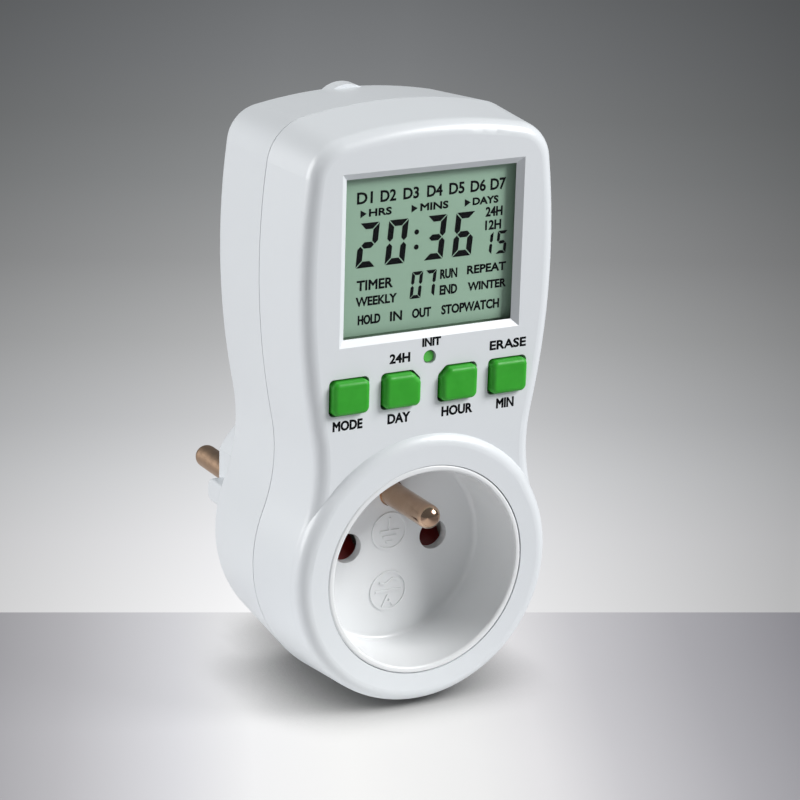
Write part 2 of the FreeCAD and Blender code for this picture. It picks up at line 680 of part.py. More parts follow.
def make_front_shell():
    body = new_body("front_shell")
    face = new_sketch(body, "face_outline", offset="face_forward")
    draw_outline(face, "0")
    seam = new_sketch(body, "seam_outline", offset="seam_forward + seam_gap / 2")
    draw_outline(seam, "seam_growth")
    loft(body, [seam, face], "outside")
    round_edges(body, "front_edge", "front_round", lies_at("face_forward"))

    # The raised collar follows the draft of the housing, just inside it.
    collar = new_sketch(body, "collar_profile", "YZ_Plane")
    draw_polygon(collar, [
        ("-collar_forward", "0"),
        ("-collar_forward", "socket_end_radius - draft_slope * face_recess - collar_inset"),
        ("-collar_forward + collar_skirt",
         "socket_end_radius + draft_slope * (collar_skirt - face_recess) - collar_inset"),
        ("-collar_forward + collar_skirt", "0"),
    ])
    revolve(body, collar, "collar")
    round_edges(body, "collar_edge", "collar_round", lies_at("collar_forward"))

    inside_front = new_sketch(body, "inside_front", offset="face_inner")
    draw_outline(inside_front, "-wall")
    inside_seam = new_sketch(body, "inside_seam", offset="seam_forward + seam_gap / 2")
    draw_outline(inside_seam, "seam_growth - wall")
    loft(body, [inside_seam, inside_front], "inside", cut=True)
    rebate = new_sketch(body, "rebate", offset="seam_forward + seam_gap / 2")
    draw_outline(rebate, "seam_growth - wall / 2")
    pocket(body, rebate, "lip_rebate", "lip_height + fit_gap", to_front=True)
    hole = circles(body, "cup_hole", "collar_forward", [("0", "0", "rim_radius + fit_gap / 2")])
    pocket(body, hole, "cup_opening", "collar_skirt")

    bezel_front = new_sketch(body, "bezel_front", offset="face_forward")
    draw_window(bezel_front, "bezel_slope")
    bezel_back = new_sketch(body, "bezel_back", offset="window_forward")
    draw_window(bezel_back, "0")
    loft(body, [bezel_back, bezel_front], "bezel", cut=True)
    lens_seat = new_sketch(body, "lens_seat", offset="face_inner")
    draw_window(lens_seat, "lens_margin + fit_gap")
    pocket(body, lens_seat, "lens_recess", "wall - window_recess", to_front=True)

    openings = new_sketch(body, "key_openings", offset="face_forward")
    spots = []
    for label, x, cut in KEYS:
        corners = key_corners(x, "key_row", "key_gap", cut)
        draw_polygon(openings, corners)
        spots += [(value(left), value(up)) for left, up in corners]
    pocket(body, openings, "key_holes", "2 * wall")
    round_edges(body, "key_hole_corners", "key_corner - key_gap", near(spots))
    reset = circles(body, "reset_circle", "face_forward", [("0", "reset_height", "reset_hole_radius")])
    pocket(body, reset, "reset_hole", "2 * wall")

    root = "face_inner + wall / 2"
    bosses = circles(body, "screw_bosses", root, housing_screw_places())
    pad(body, bosses, "bosses", root + " - boss_meeting - fit_gap / 2", to_rear=True)
    cup_bosses = circles(body, "cup_bosses", root,
                         [(x, z, "low_boss_radius") for x, z in cup_screw_places()])
    pad(body, cup_bosses, "cup_posts", root + " - cup_back - ear_thickness", to_rear=True)
    posts = circles(body, "board_posts", root,
                    [(x, z, "post_radius") for x, z in control_post_places()])
    pad(body, posts, "board_post", root + " - control_front", to_rear=True)
    for name, offset, spots in (
            ("boss", "boss_meeting", [(x, z) for x, z, radius in housing_screw_places()]),
            ("cup_boss", "cup_back + ear_thickness", cup_screw_places()),
            ("board_post", "control_front", control_post_places())):
        cores = circles(body, name + "_circles", offset, [(x, z, "screw_core") for x, z in spots])
        pocket(body, cores, name + "_cores", "screw_bite + core_spare", to_front=True)
    return body


def make_rear_shell():
    body = new_body("rear_shell")
    seam = new_sketch(body, "seam_outline", offset="seam_forward - seam_gap / 2")
    draw_outline(seam, "seam_growth")
    rear = new_sketch(body, "rear_outline", offset="plug_length")
    draw_outline(rear, "rear_growth")
    loft(body, [rear, seam], "outside")
    round_edges(body, "rear_edge", "rear_round", lies_at("plug_length"))
    lug = circles(body, "lug_circle", "plug_length",
                  [("0", "top_height + rear_growth + lug_rise - lug_radius", "lug_radius")])
    pad(body, lug, "lug", "lug_depth")

    plug = circles(body, "plug_circle", "plug_length + wall / 2", [("0", "0", "plug_radius")])
    pad(body, plug, "plug_round_body", "plug_length + wall / 2", to_rear=True)
    flats = new_sketch(body, "plug_flats", offset="plug_length")
    for sign in ("", "-"):
        draw_rectangle(flats, sign + "plug_flat", sign + "(plug_radius + wall)", "-plug_radius", "plug_radius")
    pocket(body, flats, "plug_flat_sides", "plug_length")
    round_edges(body, "plug_end", "plug_round", lies_at("0"))
    ribs = new_sketch(body, "plug_ribs", offset="plug_length + wall / 2")
    draw_rectangle(ribs, "-plug_rib_reach", "plug_rib_reach", "-plug_rib_height / 2", "plug_rib_height / 2")
    pad(body, ribs, "guide_ribs", "plug_length + wall / 2 - plug_rib_setback", to_rear=True)
    round_edges(body, "rib_ends", "plug_rib_round", crosses_rib_end)
    round_edges(body, "rib_sides", "plug_rib_edge", runs_along_rib)

    inside_seam = new_sketch(body, "inside_seam", offset="seam_forward - seam_gap / 2")
    draw_outline(inside_seam, "seam_growth - wall")
    inside_rear = new_sketch(body, "inside_rear", offset="rear_inner")
    draw_outline(inside_rear, "rear_growth - wall")
    loft(body, [inside_rear, inside_seam], "inside", cut=True)
    hollow = circles(body, "plug_hollow", "rear_inner", [("0", "0", "plug_flat - wall")])
    pocket(body, hollow, "plug_inside", "rear_inner - plug_end_wall")

    lip = new_sketch(body, "lip_outlines", offset="seam_forward - lip_height")
    draw_outline(lip, "seam_growth - wall / 2 - fit_gap")
    draw_outline(lip, "seam_growth - wall / 2 - fit_gap - lip_thickness")
    pad(body, lip, "lip", "2 * lip_height")

    root = "rear_inner - wall / 4"
    feet = circles(body, "screw_boss_feet", root,
                   [(x, z, "rear_boss_radius") for x, z, radius in housing_screw_places()])
    pad(body, feet, "boss_feet", "head_well_depth + wall / 2")
    bosses = circles(body, "screw_bosses", root, housing_screw_places())
    pad(body, bosses, "bosses", "boss_meeting - fit_gap / 2 - (%s)" % root)
    wells = circles(body, "head_wells", "plug_length", [
        (x, z, "head_well_radius") for x, z, radius in housing_screw_places()])
    pocket(body, wells, "wells", "head_well_depth", to_front=True)
    passages = circles(body, "screw_passages", "boss_meeting", [
        (x, z, "screw_passage") for x, z, radius in housing_screw_places()])
    pocket(body, passages, "passages", "boss_meeting - plug_length - head_well_depth / 2")
    posts = circles(body, "board_posts", root,
                    [(x, z, "post_radius") for x, z in power_post_places()])
    pad(body, posts, "posts", "power_back - (%s)" % root)
    cores = circles(body, "post_core_circles", "power_back",
                    [(x, z, "screw_core") for x, z in power_post_places()])
    pocket(body, cores, "post_cores", "power_back - plug_length - rear_skin")

    base_post = circles(body, "base_post_circle", "plug_end_wall - wall / 4",
                        [("0", "-base_screw_drop", "post_radius")])
    pad(body, base_post, "base_post", "base_rear - plug_end_wall + wall / 4")
    base_core = circles(body, "base_core_circle", "base_rear", [("0", "-base_screw_drop", "screw_core")])
    pocket(body, base_core, "base_core", "base_rear - rear_skin")
    holes = circles(body, "pin_holes", "plug_end_wall", [
        ("pole_side", "0", "pin_root_radius + pin_running_gap"),
        ("-pole_side", "0", "pin_root_radius + pin_running_gap"),
        ("0", "earth_offset", "earth_hole_radius"),
    ])
    pocket(body, holes, "pin_passages", "plug_end_wall")
    for name, level, downwards in (("upper", "clip_slot_start", True), ("lower", "-clip_slot_start", False)):
        slot = new_sketch(body, name + "_clip_slot", "XY_Plane", offset=level)
        draw_rectangle(slot, "-clip_width / 2 - clip_slot_gap", "clip_width / 2 + clip_slot_gap",
                       "-bridge_front - clip_slot_gap", "-clip_setback + clip_slot_gap")
        pocket(body, slot, name + "_clip_opening", "clip_slot_start - clip_slot_floor", to_front=not downwards)
    return body


def make_socket_cup():
    """The well of the socket, with three ears for its screws."""
    body = new_body("socket_cup")
    profile = new_sketch(body, "profile", "YZ_Plane")
    draw_polygon(profile, [
        ("-collar_forward", "mouth_radius"),
        ("-collar_forward", "rim_radius"),
        ("-cup_back", "floor_radius + rim_width"),
        ("-cup_back", "0"),
        ("-floor_forward", "0"),
        ("-floor_forward", "floor_radius"),
    ])
    revolve(body, profile, "bowl")
    round_edges(body, "rim", "rim_round", lies_at("collar_forward"))
    round_edges(body, "floor_edge", "cup_round", lies_at("floor_forward"))
    webs = new_sketch(body, "webs", offset="cup_back")
    for sign in ("", "-"):
        corners = (("floor_radius", "+", "-"), ("boss_ring", "+", "-"),
                   ("boss_ring", "-", "+"), ("floor_radius", "-", "+"))
        draw_polygon(webs, [("%s(%s %s low_boss_radius) * sqrt(0.5)" % (sign, ring, across),
                             "(%s %s low_boss_radius) * sqrt(0.5)" % (ring, up))
                            for ring, across, up in corners])
    draw_rectangle(webs, "-low_boss_radius", "low_boss_radius", "-boss_ring", "-floor_radius")
    pad(body, webs, "ear_webs", "ear_thickness")
    ears = circles(body, "ears", "cup_back", [(x, z, "low_boss_radius") for x, z in cup_screw_places()])
    pad(body, ears, "ear_rounds", "ear_thickness")
    screw_holes = circles(body, "ear_holes", "cup_back",
                          [(x, z, "screw_passage") for x, z in cup_screw_places()])
    pocket(body, screw_holes, "ear_passages", "2 * ear_thickness", to_front=True)
    holes = circles(body, "pole_holes", "floor_forward", [
        ("pole_side", "hole_line", "hole_radius"),
        ("-pole_side", "hole_line", "hole_radius"),
        ("0", "earth_height", "pin_root_radius + pin_running_gap"),
    ])
    pocket(body, holes, "pin_holes", "2 * cup_floor")
    return body


def make_pin(label, reach, wall_thickness, tail, x, forward, z, to_front):
    """A round-nosed pin with a flange behind its wall and a riveting tail.

    The body's own Y starts on the outer face of the wall and runs along the free end.
    """
    body = new_body(label)
    profile = new_sketch(body, "profile", "YZ_Plane")
    draw_polygon(profile, [
        ("-(%s) - pin_flange - (%s)" % (wall_thickness, tail), "0"),
        ("-(%s) - pin_flange - (%s)" % (wall_thickness, tail), "tail_radius"),
        ("-(%s) - pin_flange" % wall_thickness, "tail_radius"),
        ("-(%s) - pin_flange" % wall_thickness, "pin_flange_radius"),
        ("-(%s)" % wall_thickness, "pin_flange_radius"),
        ("-(%s)" % wall_thickness, "pin_root_radius"),
        ("-pin_root_setback", "pin_root_radius"),
        ("-pin_root_setback", "pin_radius"),
        (reach, "pin_radius"),
        (reach, "0"),
    ])
    revolve(body, profile, "turned")
    tip = value(reach)
    round_edges(body, "nose", "pin_nose",
                lambda edge: abs(edge.BoundBox.YMin - tip) < 0.01 and edge.BoundBox.XLength > 1)
    body.Placement.Rotation = Rotation(Vector(0, 0, 1), 180 if to_front else 0)
    place(body, x, forward, z)
    return body


def make_shutter():
    """The guard: two slopes that a plug's pins push down, with a foot across below them."""
    body = new_body("shutter")
    profile = new_sketch(body, "slope_profile", "YZ_Plane", "-shutter_reach")
    draw_polygon(profile, [
        ("-shutter_front", "shutter_foot_height"),
        ("-shutter_front", "shutter_low_edge"),
        ("-shutter_back", "shutter_high_edge"),
        ("-shutter_back", "shutter_foot_height"),
    ])
    pad(body, profile, "wedge", "2 * shutter_reach")
    bridge = new_sketch(body, "bridge_cut", offset="shutter_front")
    draw_rectangle(bridge, "-shutter_step", "shutter_step", "shutter_low_edge", "shutter_high_edge + wall")
    pocket(body, bridge, "bridge_gap", "shutter_travel")
    round_edges(body, "bridge_corners", "shutter_corner", near([
        (value(sign + "shutter_step"), value("shutter_low_edge")) for sign in ("", "-")]))
    seat = new_sketch(body, "spring_seat", "XY_Plane", "shutter_foot_height")
    draw_circle(seat, "0", "-(shutter_front + shutter_back) / 2", "spring_radius + spring_wire + rest_gap")
    pocket(body, seat, "spring_hole", "spring_pocket", to_front=True)
    return body


def make_shutter_cover():
    """The block behind the cup: slideway of the guard and two cages for the contacts."""
    body = new_body("shutter_cover")
    outer = new_sketch(body, "outer", offset="guide_back")
    draw_rectangle(outer, "-guide_side", "guide_side", "guide_floor - guide_wall", "guide_top")
    pad(body, outer, "block", "cup_back - guide_back")
    cages = new_sketch(body, "cages", offset="guide_back + guide_wall / 2")
    for sign in ("", "-"):
        draw_rectangle(cages, sign + "(pole_side - cage_half_width - cage_wall)",
                       sign + "(pole_side + cage_half_width + cage_wall)",
                       "hole_line - cage_half_height - cage_wall", "hole_line + cage_half_height + cage_wall")
    pad(body, cages, "cage_blocks", "guide_back + guide_wall / 2 - contact_root - metal", to_rear=True)
    rooms = new_sketch(body, "cage_rooms", offset="contact_root + metal")
    for sign in ("", "-"):
        draw_rectangle(rooms, sign + "(pole_side - cage_half_width)", sign + "(pole_side + cage_half_width)",
                       "hole_line - cage_half_height", "hole_line + cage_half_height")
    pocket(body, rooms, "cage_hollows", "guide_back - contact_root - metal", to_front=True)
    inner = new_sketch(body, "inner", offset="guide_back + guide_wall")
    draw_rectangle(inner, "-shutter_reach - shutter_side_gap", "shutter_reach + shutter_side_gap",
                   "guide_floor", "shutter_high_edge + shutter_side_gap")
    pocket(body, inner, "slideway", "cup_back - guide_back", to_front=True)
    lightening = new_sketch(body, "lightening", offset="guide_back + guide_wall")
    for sign in ("", "-"):
        draw_rectangle(lightening, sign + "(pin_flange_radius + guide_wall)", sign + "(guide_side - guide_wall)",
                       "shutter_high_edge + shutter_side_gap + guide_wall", "guide_top - guide_wall")
    pocket(body, lightening, "side_hollows", "cup_back - guide_back", to_front=True)
    holes = circles(body, "holes", "guide_back + guide_wall", [
        ("pole_side", "hole_line", "hole_radius"),
        ("-pole_side", "hole_line", "hole_radius"),
    ])
    pocket(body, holes, "pole_passages", "2 * guide_wall")
    flange = circles(body, "flange_seat", "cup_back", [
        ("0", "earth_height", "pin_flange_radius + pin_running_gap"),
    ])
    pocket(body, flange, "flange_recess", "pin_flange + fit_gap")
    tail = circles(body, "tail_bore", "cup_back", [("0", "earth_height", "tail_radius + pin_running_gap")])
    pocket(body, tail, "tail_hole", "cup_back - guide_back")
    return body


def make_shutter_spring():
    """The return spring: an open coil of round wire, so its path is a helix."""
    low = value("guide_floor")
    wire = value("spring_wire")
    rise = value("spring_top") - low - 2 * wire
    helix = Part.makeHelix(rise / value("spring_turns"), rise, value("spring_radius"))
    ring = Part.Wire([Part.makeCircle(wire, Vector(value("spring_radius"), 0, 0), Vector(0, 1, 0))])
    spring = doc.addObject("Part::Feature", "shutter_spring")
    spring.Label = "shutter_spring"
    spring.Shape = Part.Wire(helix).makePipeShell([ring], True, True)
    spring.Placement.Base = Vector(0, -value("(shutter_front + shutter_back) / 2"), low + wire)
    return spring


def make_contact(label, x):
    """A forked contact: two sprung blades on a back plate, pinched near their mouth."""
    body = new_body(label)
    fork = new_sketch(body, "fork", "XY_Plane", "-contact_height / 2")
    inner = [("contact_gap + contact_flare", "-metal"),
             ("contact_gap", "-contact_length * contact_pinch"),
             ("contact_gap + contact_flare", "-contact_length")]
    outer = [("contact_gap + contact_flare + metal", "0"),
             ("contact_gap + metal", "-contact_length * contact_pinch"),
             ("contact_gap + contact_flare + metal", "-contact_length")]
    right = outer + inner[::-1]
    draw_polygon(fork, right + [("-(%s)" % across, along) for across, along in reversed(right)])
    pad(body, fork, "blades", "contact_height")
    place(body, x, "contact_root", "hole_line")
    return body


def make_plug_base():
    """The plate that holds the two pins down on the plug's end wall."""
    body = new_body("plug_base")
    disc = circles(body, "disc", "base_rear", [("0", "0", "plug_flat - wall - rest_gap")])
    pad(body, disc, "plate", "base_thickness")
    holes = circles(body, "holes", "base_rear", [
        ("pole_side", "0", "tail_radius + pin_running_gap"),
        ("-pole_side", "0", "tail_radius + pin_running_gap"),
        ("0", "-base_screw_drop", "screw_passage"),
    ])
    pocket(body, holes, "passages", "2 * base_thickness", to_front=True)
    notch = new_sketch(body, "sleeve_notch", offset="base_rear")
    reach = "earth_sleeve_radius + sleeve_wall + rest_gap"
    draw_rectangle(notch, "-(%s)" % reach, reach, "earth_offset - (%s)" % reach, "plug_radius")
    pocket(body, notch, "sleeve_opening", "2 * base_thickness", to_front=True)
    return body


def make_earth_clips():
    """The two side contacts of the plug, bent from one strip across the inside."""
    body = new_body("earth_clips")
    profile = new_sketch(body, "profile", "YZ_Plane", "-clip_width / 2")
    crown = "-(clip_setback + bridge_front) / 2"
    outer = [("-clip_setback", "clip_reach"), (crown, "clip_reach + clip_bow"), ("-bridge_front", "clip_reach")]
    inner = [("-bridge_rear", "clip_reach - metal"), (crown, "clip_reach + clip_bow - metal"),
             ("-clip_setback", "clip_reach - metal")]
    mirrored = [(along, "-(%s)" % up) for along, up in reversed(outer)]
    draw_polygon(profile, outer + mirrored + [(along, "-(%s)" % up) for along, up in reversed(inner)] + inner)
    pad(body, profile, "strip", "clip_width")
    return body


def make_earth_socket():
    """The slotted sleeve that grips the wall socket's earth pin."""
    body = new_body("earth_socket")
    rings = circles(body, "rings", "plug_end_wall + rest_gap", [
        ("0", "earth_offset", "earth_sleeve_radius + sleeve_wall"),
        ("0", "earth_offset", "earth_sleeve_radius"),
    ])
    length = "bridge_rear - plug_end_wall - rest_gap"
    pad(body, rings, "sleeve", length)
    slot = new_sketch(body, "slot", offset="bridge_rear")
    draw_rectangle(slot, "-sleeve_slot / 2", "sleeve_slot / 2", "earth_offset - pin_flange_radius", "earth_offset")
    pocket(body, slot, "spring_slot", length)
    return body


def make_strap(label, x, bend, plates, eyelet, pins):
    """A strip of sheet metal: a bent run, flat plates, an eyelet and soldered pins.

    The bend is a closed profile seen from the side, the plates are outlines seen from
    the front with the forward place of their rear face.
    """
    body = new_body(label)
    if bend:
        profile = new_sketch(body, "bend", "YZ_Plane", "%s - strap_width / 2" % x)
        draw_polygon(profile, [("-(%s)" % forward, up) for forward, up in bend])
        pad(body, profile, "run", "strap_width")
    for number, (forward, corners) in enumerate(plates):
        sketch = new_sketch(body, "plate_%d" % number, offset=forward)
        draw_polygon(sketch, corners)
        pad(body, sketch, "plate_metal_%d" % number, "metal")
    if eyelet:
        across, forward, up = eyelet
        ring = circles(body, "eyelet", forward, [(across, up, "tail_radius + eyelet_margin")])
        pad(body, ring, "eyelet_metal", "metal")
        hole = circles(body, "rivet_circle", forward, [(across, up, "tail_radius + pin_running_gap")])
        pocket(body, hole, "rivet_hole", "metal", to_front=True)
    if pins:
        tips = circles(body, "pins", "power_front + lead_proud", [(a, b, "lead_radius") for a, b in pins])
        reach = "power_front + lead_proud - (%s) - metal / 2" % plates[-1][0]
        pad(body, tips, "solder_pins", reach, to_rear=True)
    return body


STRAP_PINS = ("power_foot + strap_overlap / 3", "power_foot + 2 * strap_overlap / 3")


def strap_pins(x):
    return [(x, height) for height in STRAP_PINS]


def box_corners(left, right, low, high):
    return [(left, low), (right, low), (right, high), (left, high)]


def make_straps():
    """The strips that join the plug, the board, the relay and the socket's contacts."""
    top = "power_foot + strap_overlap"
    low = "hole_line - contact_height / 2"
    seat = "contact_root - metal"

    def run(end):
        """An eyelet plate, a run towards the front and its turned-up end."""
        return [
            ("eyelet_rear", "-tail_radius"), ("eyelet_rear", "strap_height + metal"),
            (end, "strap_height + metal"), (end, "strap_height"),
            ("eyelet_rear + metal", "strap_height"), ("eyelet_rear + metal", "-tail_radius"),
        ]

    live_left = "-live_side - strap_width / 2"
    live = make_strap("live_link", "-pole_side", run("strap_rear + metal"), [
        ("strap_rear", [
            (live_left, "strap_height"), ("-pole_side + strap_width / 2", "strap_height"),
            ("-pole_side + strap_width / 2", "strap_height + strap_width"),
            ("-live_side + strap_width / 2", "strap_height + strap_width"),
            ("-live_side + strap_width / 2", top), (live_left, top),
        ])], ("-pole_side", "eyelet_rear", "0"), strap_pins("-live_side"))
    switched = make_strap("switched_link", "-switched_side", [], [
        (seat, [
            ("-pole_side - strap_width / 2", low), ("-switched_side + strap_width / 2", low),
            ("-switched_side + strap_width / 2", top), ("-switched_side - strap_width / 2", top),
            ("-switched_side - strap_width / 2", "strap_height"), ("-pole_side - strap_width / 2", "strap_height"),
        ])], None, strap_pins("-switched_side"))
    neutral = make_strap("neutral_link", "pole_side", run(seat + " + metal"), [
        (seat, box_corners("pole_side - strap_width / 2", "pole_side + strap_width / 2", low, top))],
        ("pole_side", "eyelet_rear", "0"), strap_pins("pole_side"))
    under = "earth_height - tail_radius - eyelet_margin - metal"
    back = "guide_back - fit_gap - metal"
    earth = make_strap("earth_link", "0", [
        ("bridge_front", "strap_height"), ("bridge_front", under + " + metal"),
        (back, under + " + metal"), (back, "earth_height - tail_radius - pin_running_gap"),
        (back + " + metal", "earth_height - tail_radius - pin_running_gap"), (back + " + metal", under),
        ("bridge_front + metal", under), ("bridge_front + metal", "strap_height"),
    ], [], ("0", back, "earth_height"), [])
    return [live, switched, neutral, earth]


def make_key(label, x, cut):
    """A pillow-shaped cap with a flange that stays behind the front wall."""
    body = new_body(label)
    cap = new_sketch(body, "cap", offset="key_back - face_forward")
    corners = key_corners("0", "0", "0", cut)
    draw_polygon(cap, corners)
    pad(body, cap, "cap_block", "face_forward - key_back + key_rise")
    round_edges(body, "corners", "key_corner", near([(value(a), value(b)) for a, b in corners]))
    round_edges(body, "crown", "key_crown", lies_at("key_rise"))
    flange = new_sketch(body, "flange", offset="key_back - face_forward")
    draw_polygon(flange, key_corners("0", "0", "key_flange", cut))
    pad(body, flange, "flange_plate", "key_flange_thickness")
    place(body, x, "face_forward", "key_row")
    return body


def make_reset_key():
    """The small key that stays just below the face."""
    body = new_body("reset_key")
    profile = new_sketch(body, "profile", "YZ_Plane")
    flange_front = "face_forward - key_back - key_flange_thickness"
    draw_polygon(profile, [
        ("reset_recess", "0"),
        ("reset_recess", "reset_radius"),
        (flange_front, "reset_radius"),
        (flange_front, "reset_radius + reset_flange"),
        ("face_forward - key_back", "reset_radius + reset_flange"),
        ("face_forward - key_back", "0"),
    ])
    revolve(body, profile, "turned")
    place(body, "0", "face_forward", "reset_height")
    return body


def make_keypad_mat():
    """A thin sheet with a dome under each key."""
    reach = "control_reach - mat_inset"
    parts = [make_box("mat_sheet", "-(%s)" % reach, reach, "control_front", "mat_front",
                      "control_shoulder_low + mat_inset", "mat_head")]
    for label, x, cut in KEYS:
        dome = doc.addObject("Part::Cone", "dome_" + label)
        bind(dome, "Radius1", "dome_radius")
        bind(dome, "Radius2", "dome_top_radius")
        bind(dome, "Height", "dome_top - mat_front")
        dome.Placement.Rotation = Rotation(Vector(1, 0, 0), 90)
        place(dome, x, "mat_front", "key_row")
        parts.append(dome)
    parts.append(make_rod("dome_reset", "reset_dome_radius", "dome_top - mat_front",
                          "0", "mat_front", "reset_height"))
    return join("keypad_mat", parts)


def make_display():
    """The lens, the cell, the frame round it and the two contact strips."""
    lens = new_body("display_window")
    plate = new_sketch(lens, "plate", offset="lens_back")
    draw_window(plate, "lens_margin")
    pad(lens, plate, "plate_body", "lens_thickness")
    round_edges(lens, "plate_corners", "lens_corner", runs_deep)

    cell = new_body("display_glass")
    sheets = (
        ("rear", "cell_back", "0"),
        ("front", "cell_back + cell_thickness / 2", "strip_width / 2"),
    )
    for name, offset, inset in sheets:
        glass = new_sketch(cell, name + "_sheet", offset=offset)
        draw_rectangle(glass, "-cell_half_width", "cell_half_width",
                       "display_middle - cell_half_height + " + inset,
                       "display_middle + cell_half_height - " + inset)
        pad(cell, glass, name + "_glass", "cell_thickness / 2")

    holder = new_body("display_holder")
    frame = new_sketch(holder, "frame", offset="control_front")
    for margin in ("fit_gap + holder_wall", "fit_gap"):
        draw_rectangle(frame, "-cell_half_width - (%s)" % margin, "cell_half_width + (%s)" % margin,
                       "display_middle - cell_half_height - (%s)" % margin,
                       "display_middle + cell_half_height + (%s)" % margin)
    pad(holder, frame, "frame_ring", "cell_front - control_front")

    strips = []
    for name, low in (("low", "display_middle - cell_half_height + fit_gap"),
                      ("high", "display_middle + cell_half_height - fit_gap - strip_width")):
        strips.append(make_box("strip_" + name, "-cell_half_width + fit_gap", "cell_half_width - fit_gap",
                               "control_front", "cell_back", low, low + " + strip_width"))
    return [lens, cell, holder, group("contact_strips", strips)]


def link_places():
    """The pins that join the two boards."""
    return [("link_left + %d * link_pitch" % number, "power_foot + link_rise") for number in range(6)]


def make_control_board():
    body = new_body("control_board")
    plate = new_sketch(body, "plate", offset="control_back")
    half = [
        ("tab_foot", "control_foot"),
        ("tab_foot", "control_shoulder_low"),
        ("control_reach", "control_shoulder_low"),
        ("control_reach", "control_shoulder_high"),
        ("tab_head", "control_shoulder_high"),
        ("tab_head", "control_head"),
    ]
    draw_polygon(plate, half + [("-" + x, z) for x, z in reversed(half)])
    pad(body, plate, "laminate", "board_thickness")
    spots = [(x, z, "screw_passage") for x, z in control_post_places()]
    spots += [(x, z, "link_hole_radius") for x, z in link_places()]
    pocket(body, circles(body, "holes", "control_front", spots), "drilled", "board_thickness")

    chip = new_body("control_chip")
    dome = new_sketch(chip, "dome_profile", "YZ_Plane")
    draw_polygon(dome, [
        ("0", "0"),
        ("0", "chip_radius"),
        ("chip_rise * flank_share_of_rise", "chip_radius * flank_share_of_radius"),
        ("chip_rise * brow_share_of_rise", "chip_radius * brow_share_of_radius"),
        ("chip_rise", "0"),
    ])
    revolve(chip, dome, "cover")
    place(chip, "-chip_side", "control_back", "display_middle")
    return [body, chip]


def make_power_board(spots):
    """The board with the mains parts, drilled for every leg in the given places."""
    body = new_body("power_board")
    plate = new_sketch(body, "plate", offset="power_back")
    draw_rectangle(plate, "-power_reach", "power_reach", "power_foot", "power_head")
    pad(body, plate, "laminate", "board_thickness")
    round_edges(body, "plate_corners", "board_corner", runs_deep)
    holes = [(x, z, "screw_passage") for x, z in power_post_places()]
    holes += [(x, z, "link_hole_radius") for x, z in link_places()]
    holes += [(x, z, "lead_radius + lead_gap") for x, z in spots]
    pocket(body, circles(body, "holes", "power_front", holes), "drilled", "board_thickness")
    return body


def add_legs(body, spots):
    """Legs from the board's front face to just behind the board."""
    legs = circles(body, "legs", "power_front", [(x, z, "lead_radius") for x, z in spots])
    pad(body, legs, "leg_wires", "board_thickness + lead_proud", to_rear=True)


def make_block(label, left, width, rise, length, height, spots):
    """A moulded case on the power board, with its legs."""
    body = new_body(label)
    foot = new_sketch(body, "foot", offset="power_front")
    draw_rectangle(foot, left, "%s + %s" % (left, width),
                   "power_foot + " + rise, "power_foot + %s + %s" % (rise, length))
    pad(body, foot, "case", height)
    round_edges(body, "corners", "part_edge", runs_deep)
    round_edges(body, "front_edges", "part_edge", lies_at("power_front + " + height))
    add_legs(body, spots)
    return body


def make_smoother(spots):
    """An electrolytic can with its crimped groove and bevelled ends."""
    body = new_body("smoothing_capacitor")
    profile = new_sketch(body, "profile", "YZ_Plane")
    draw_polygon(profile, [
        ("0", "0"),
        ("0", "smoother_radius - can_bevel"),
        ("-can_bevel", "smoother_radius"),
        ("-can_groove", "smoother_radius"),
        ("-can_groove - can_bevel", "smoother_radius - can_bevel"),
        ("-can_groove - 2 * can_bevel", "smoother_radius"),
        ("-smoother_height + can_bevel", "smoother_radius"),
        ("-smoother_height", "smoother_radius - can_bevel"),
        ("-smoother_height", "0"),
    ])
    revolve(body, profile, "can")
    middle = "power_foot + smoother_rise"
    local = circles(body, "legs", "0", [("%s - smoother_side" % x, "0", "lead_radius") for x, z in spots])
    pad(body, local, "leg_wires", "board_thickness + lead_proud", to_rear=True)
    place(body, "smoother_side", "power_front", middle)
    return body


def make_standing_disc(spots):
    """The varistor: a disc on edge over its two legs."""
    middle = "power_front + varistor_radius + body_clearance"
    disc = make_rod("varistor_disc", "varistor_radius", "varistor_thickness", "varistor_side",
                    middle, "power_foot + varistor_rise - varistor_thickness / 2", "up")
    stems = [make_rod("varistor_leg_%d" % number, "lead_radius", middle + " - power_back + lead_proud",
                      x, "power_back - lead_proud", z) for number, (x, z) in enumerate(spots)]
    return join("varistor", [disc] + stems)


def make_battery(spots):
    """Three button cells in a row with a tag between each two."""
    middle = "power_front + battery_radius + body_clearance"
    height = "power_foot + battery_rise"
    parts = []
    for number in range(3):
        left = "battery_left + %d * (battery_cell + battery_joint)" % number
        parts.append(make_rod("cell_%d" % number, "battery_radius", "battery_cell", left, middle, height, "right"))
    parts.append(make_rod("cell_joints", "battery_radius - part_edge",
                          "3 * battery_cell + 2 * battery_joint", "battery_left", middle, height, "right"))
    for number, (x, z) in enumerate(spots):
        parts.append(make_rod("battery_leg_%d" % number, "lead_radius", middle + " - power_back + lead_proud",
                              x, "power_back - lead_proud", z))
    return join("backup_battery", parts)


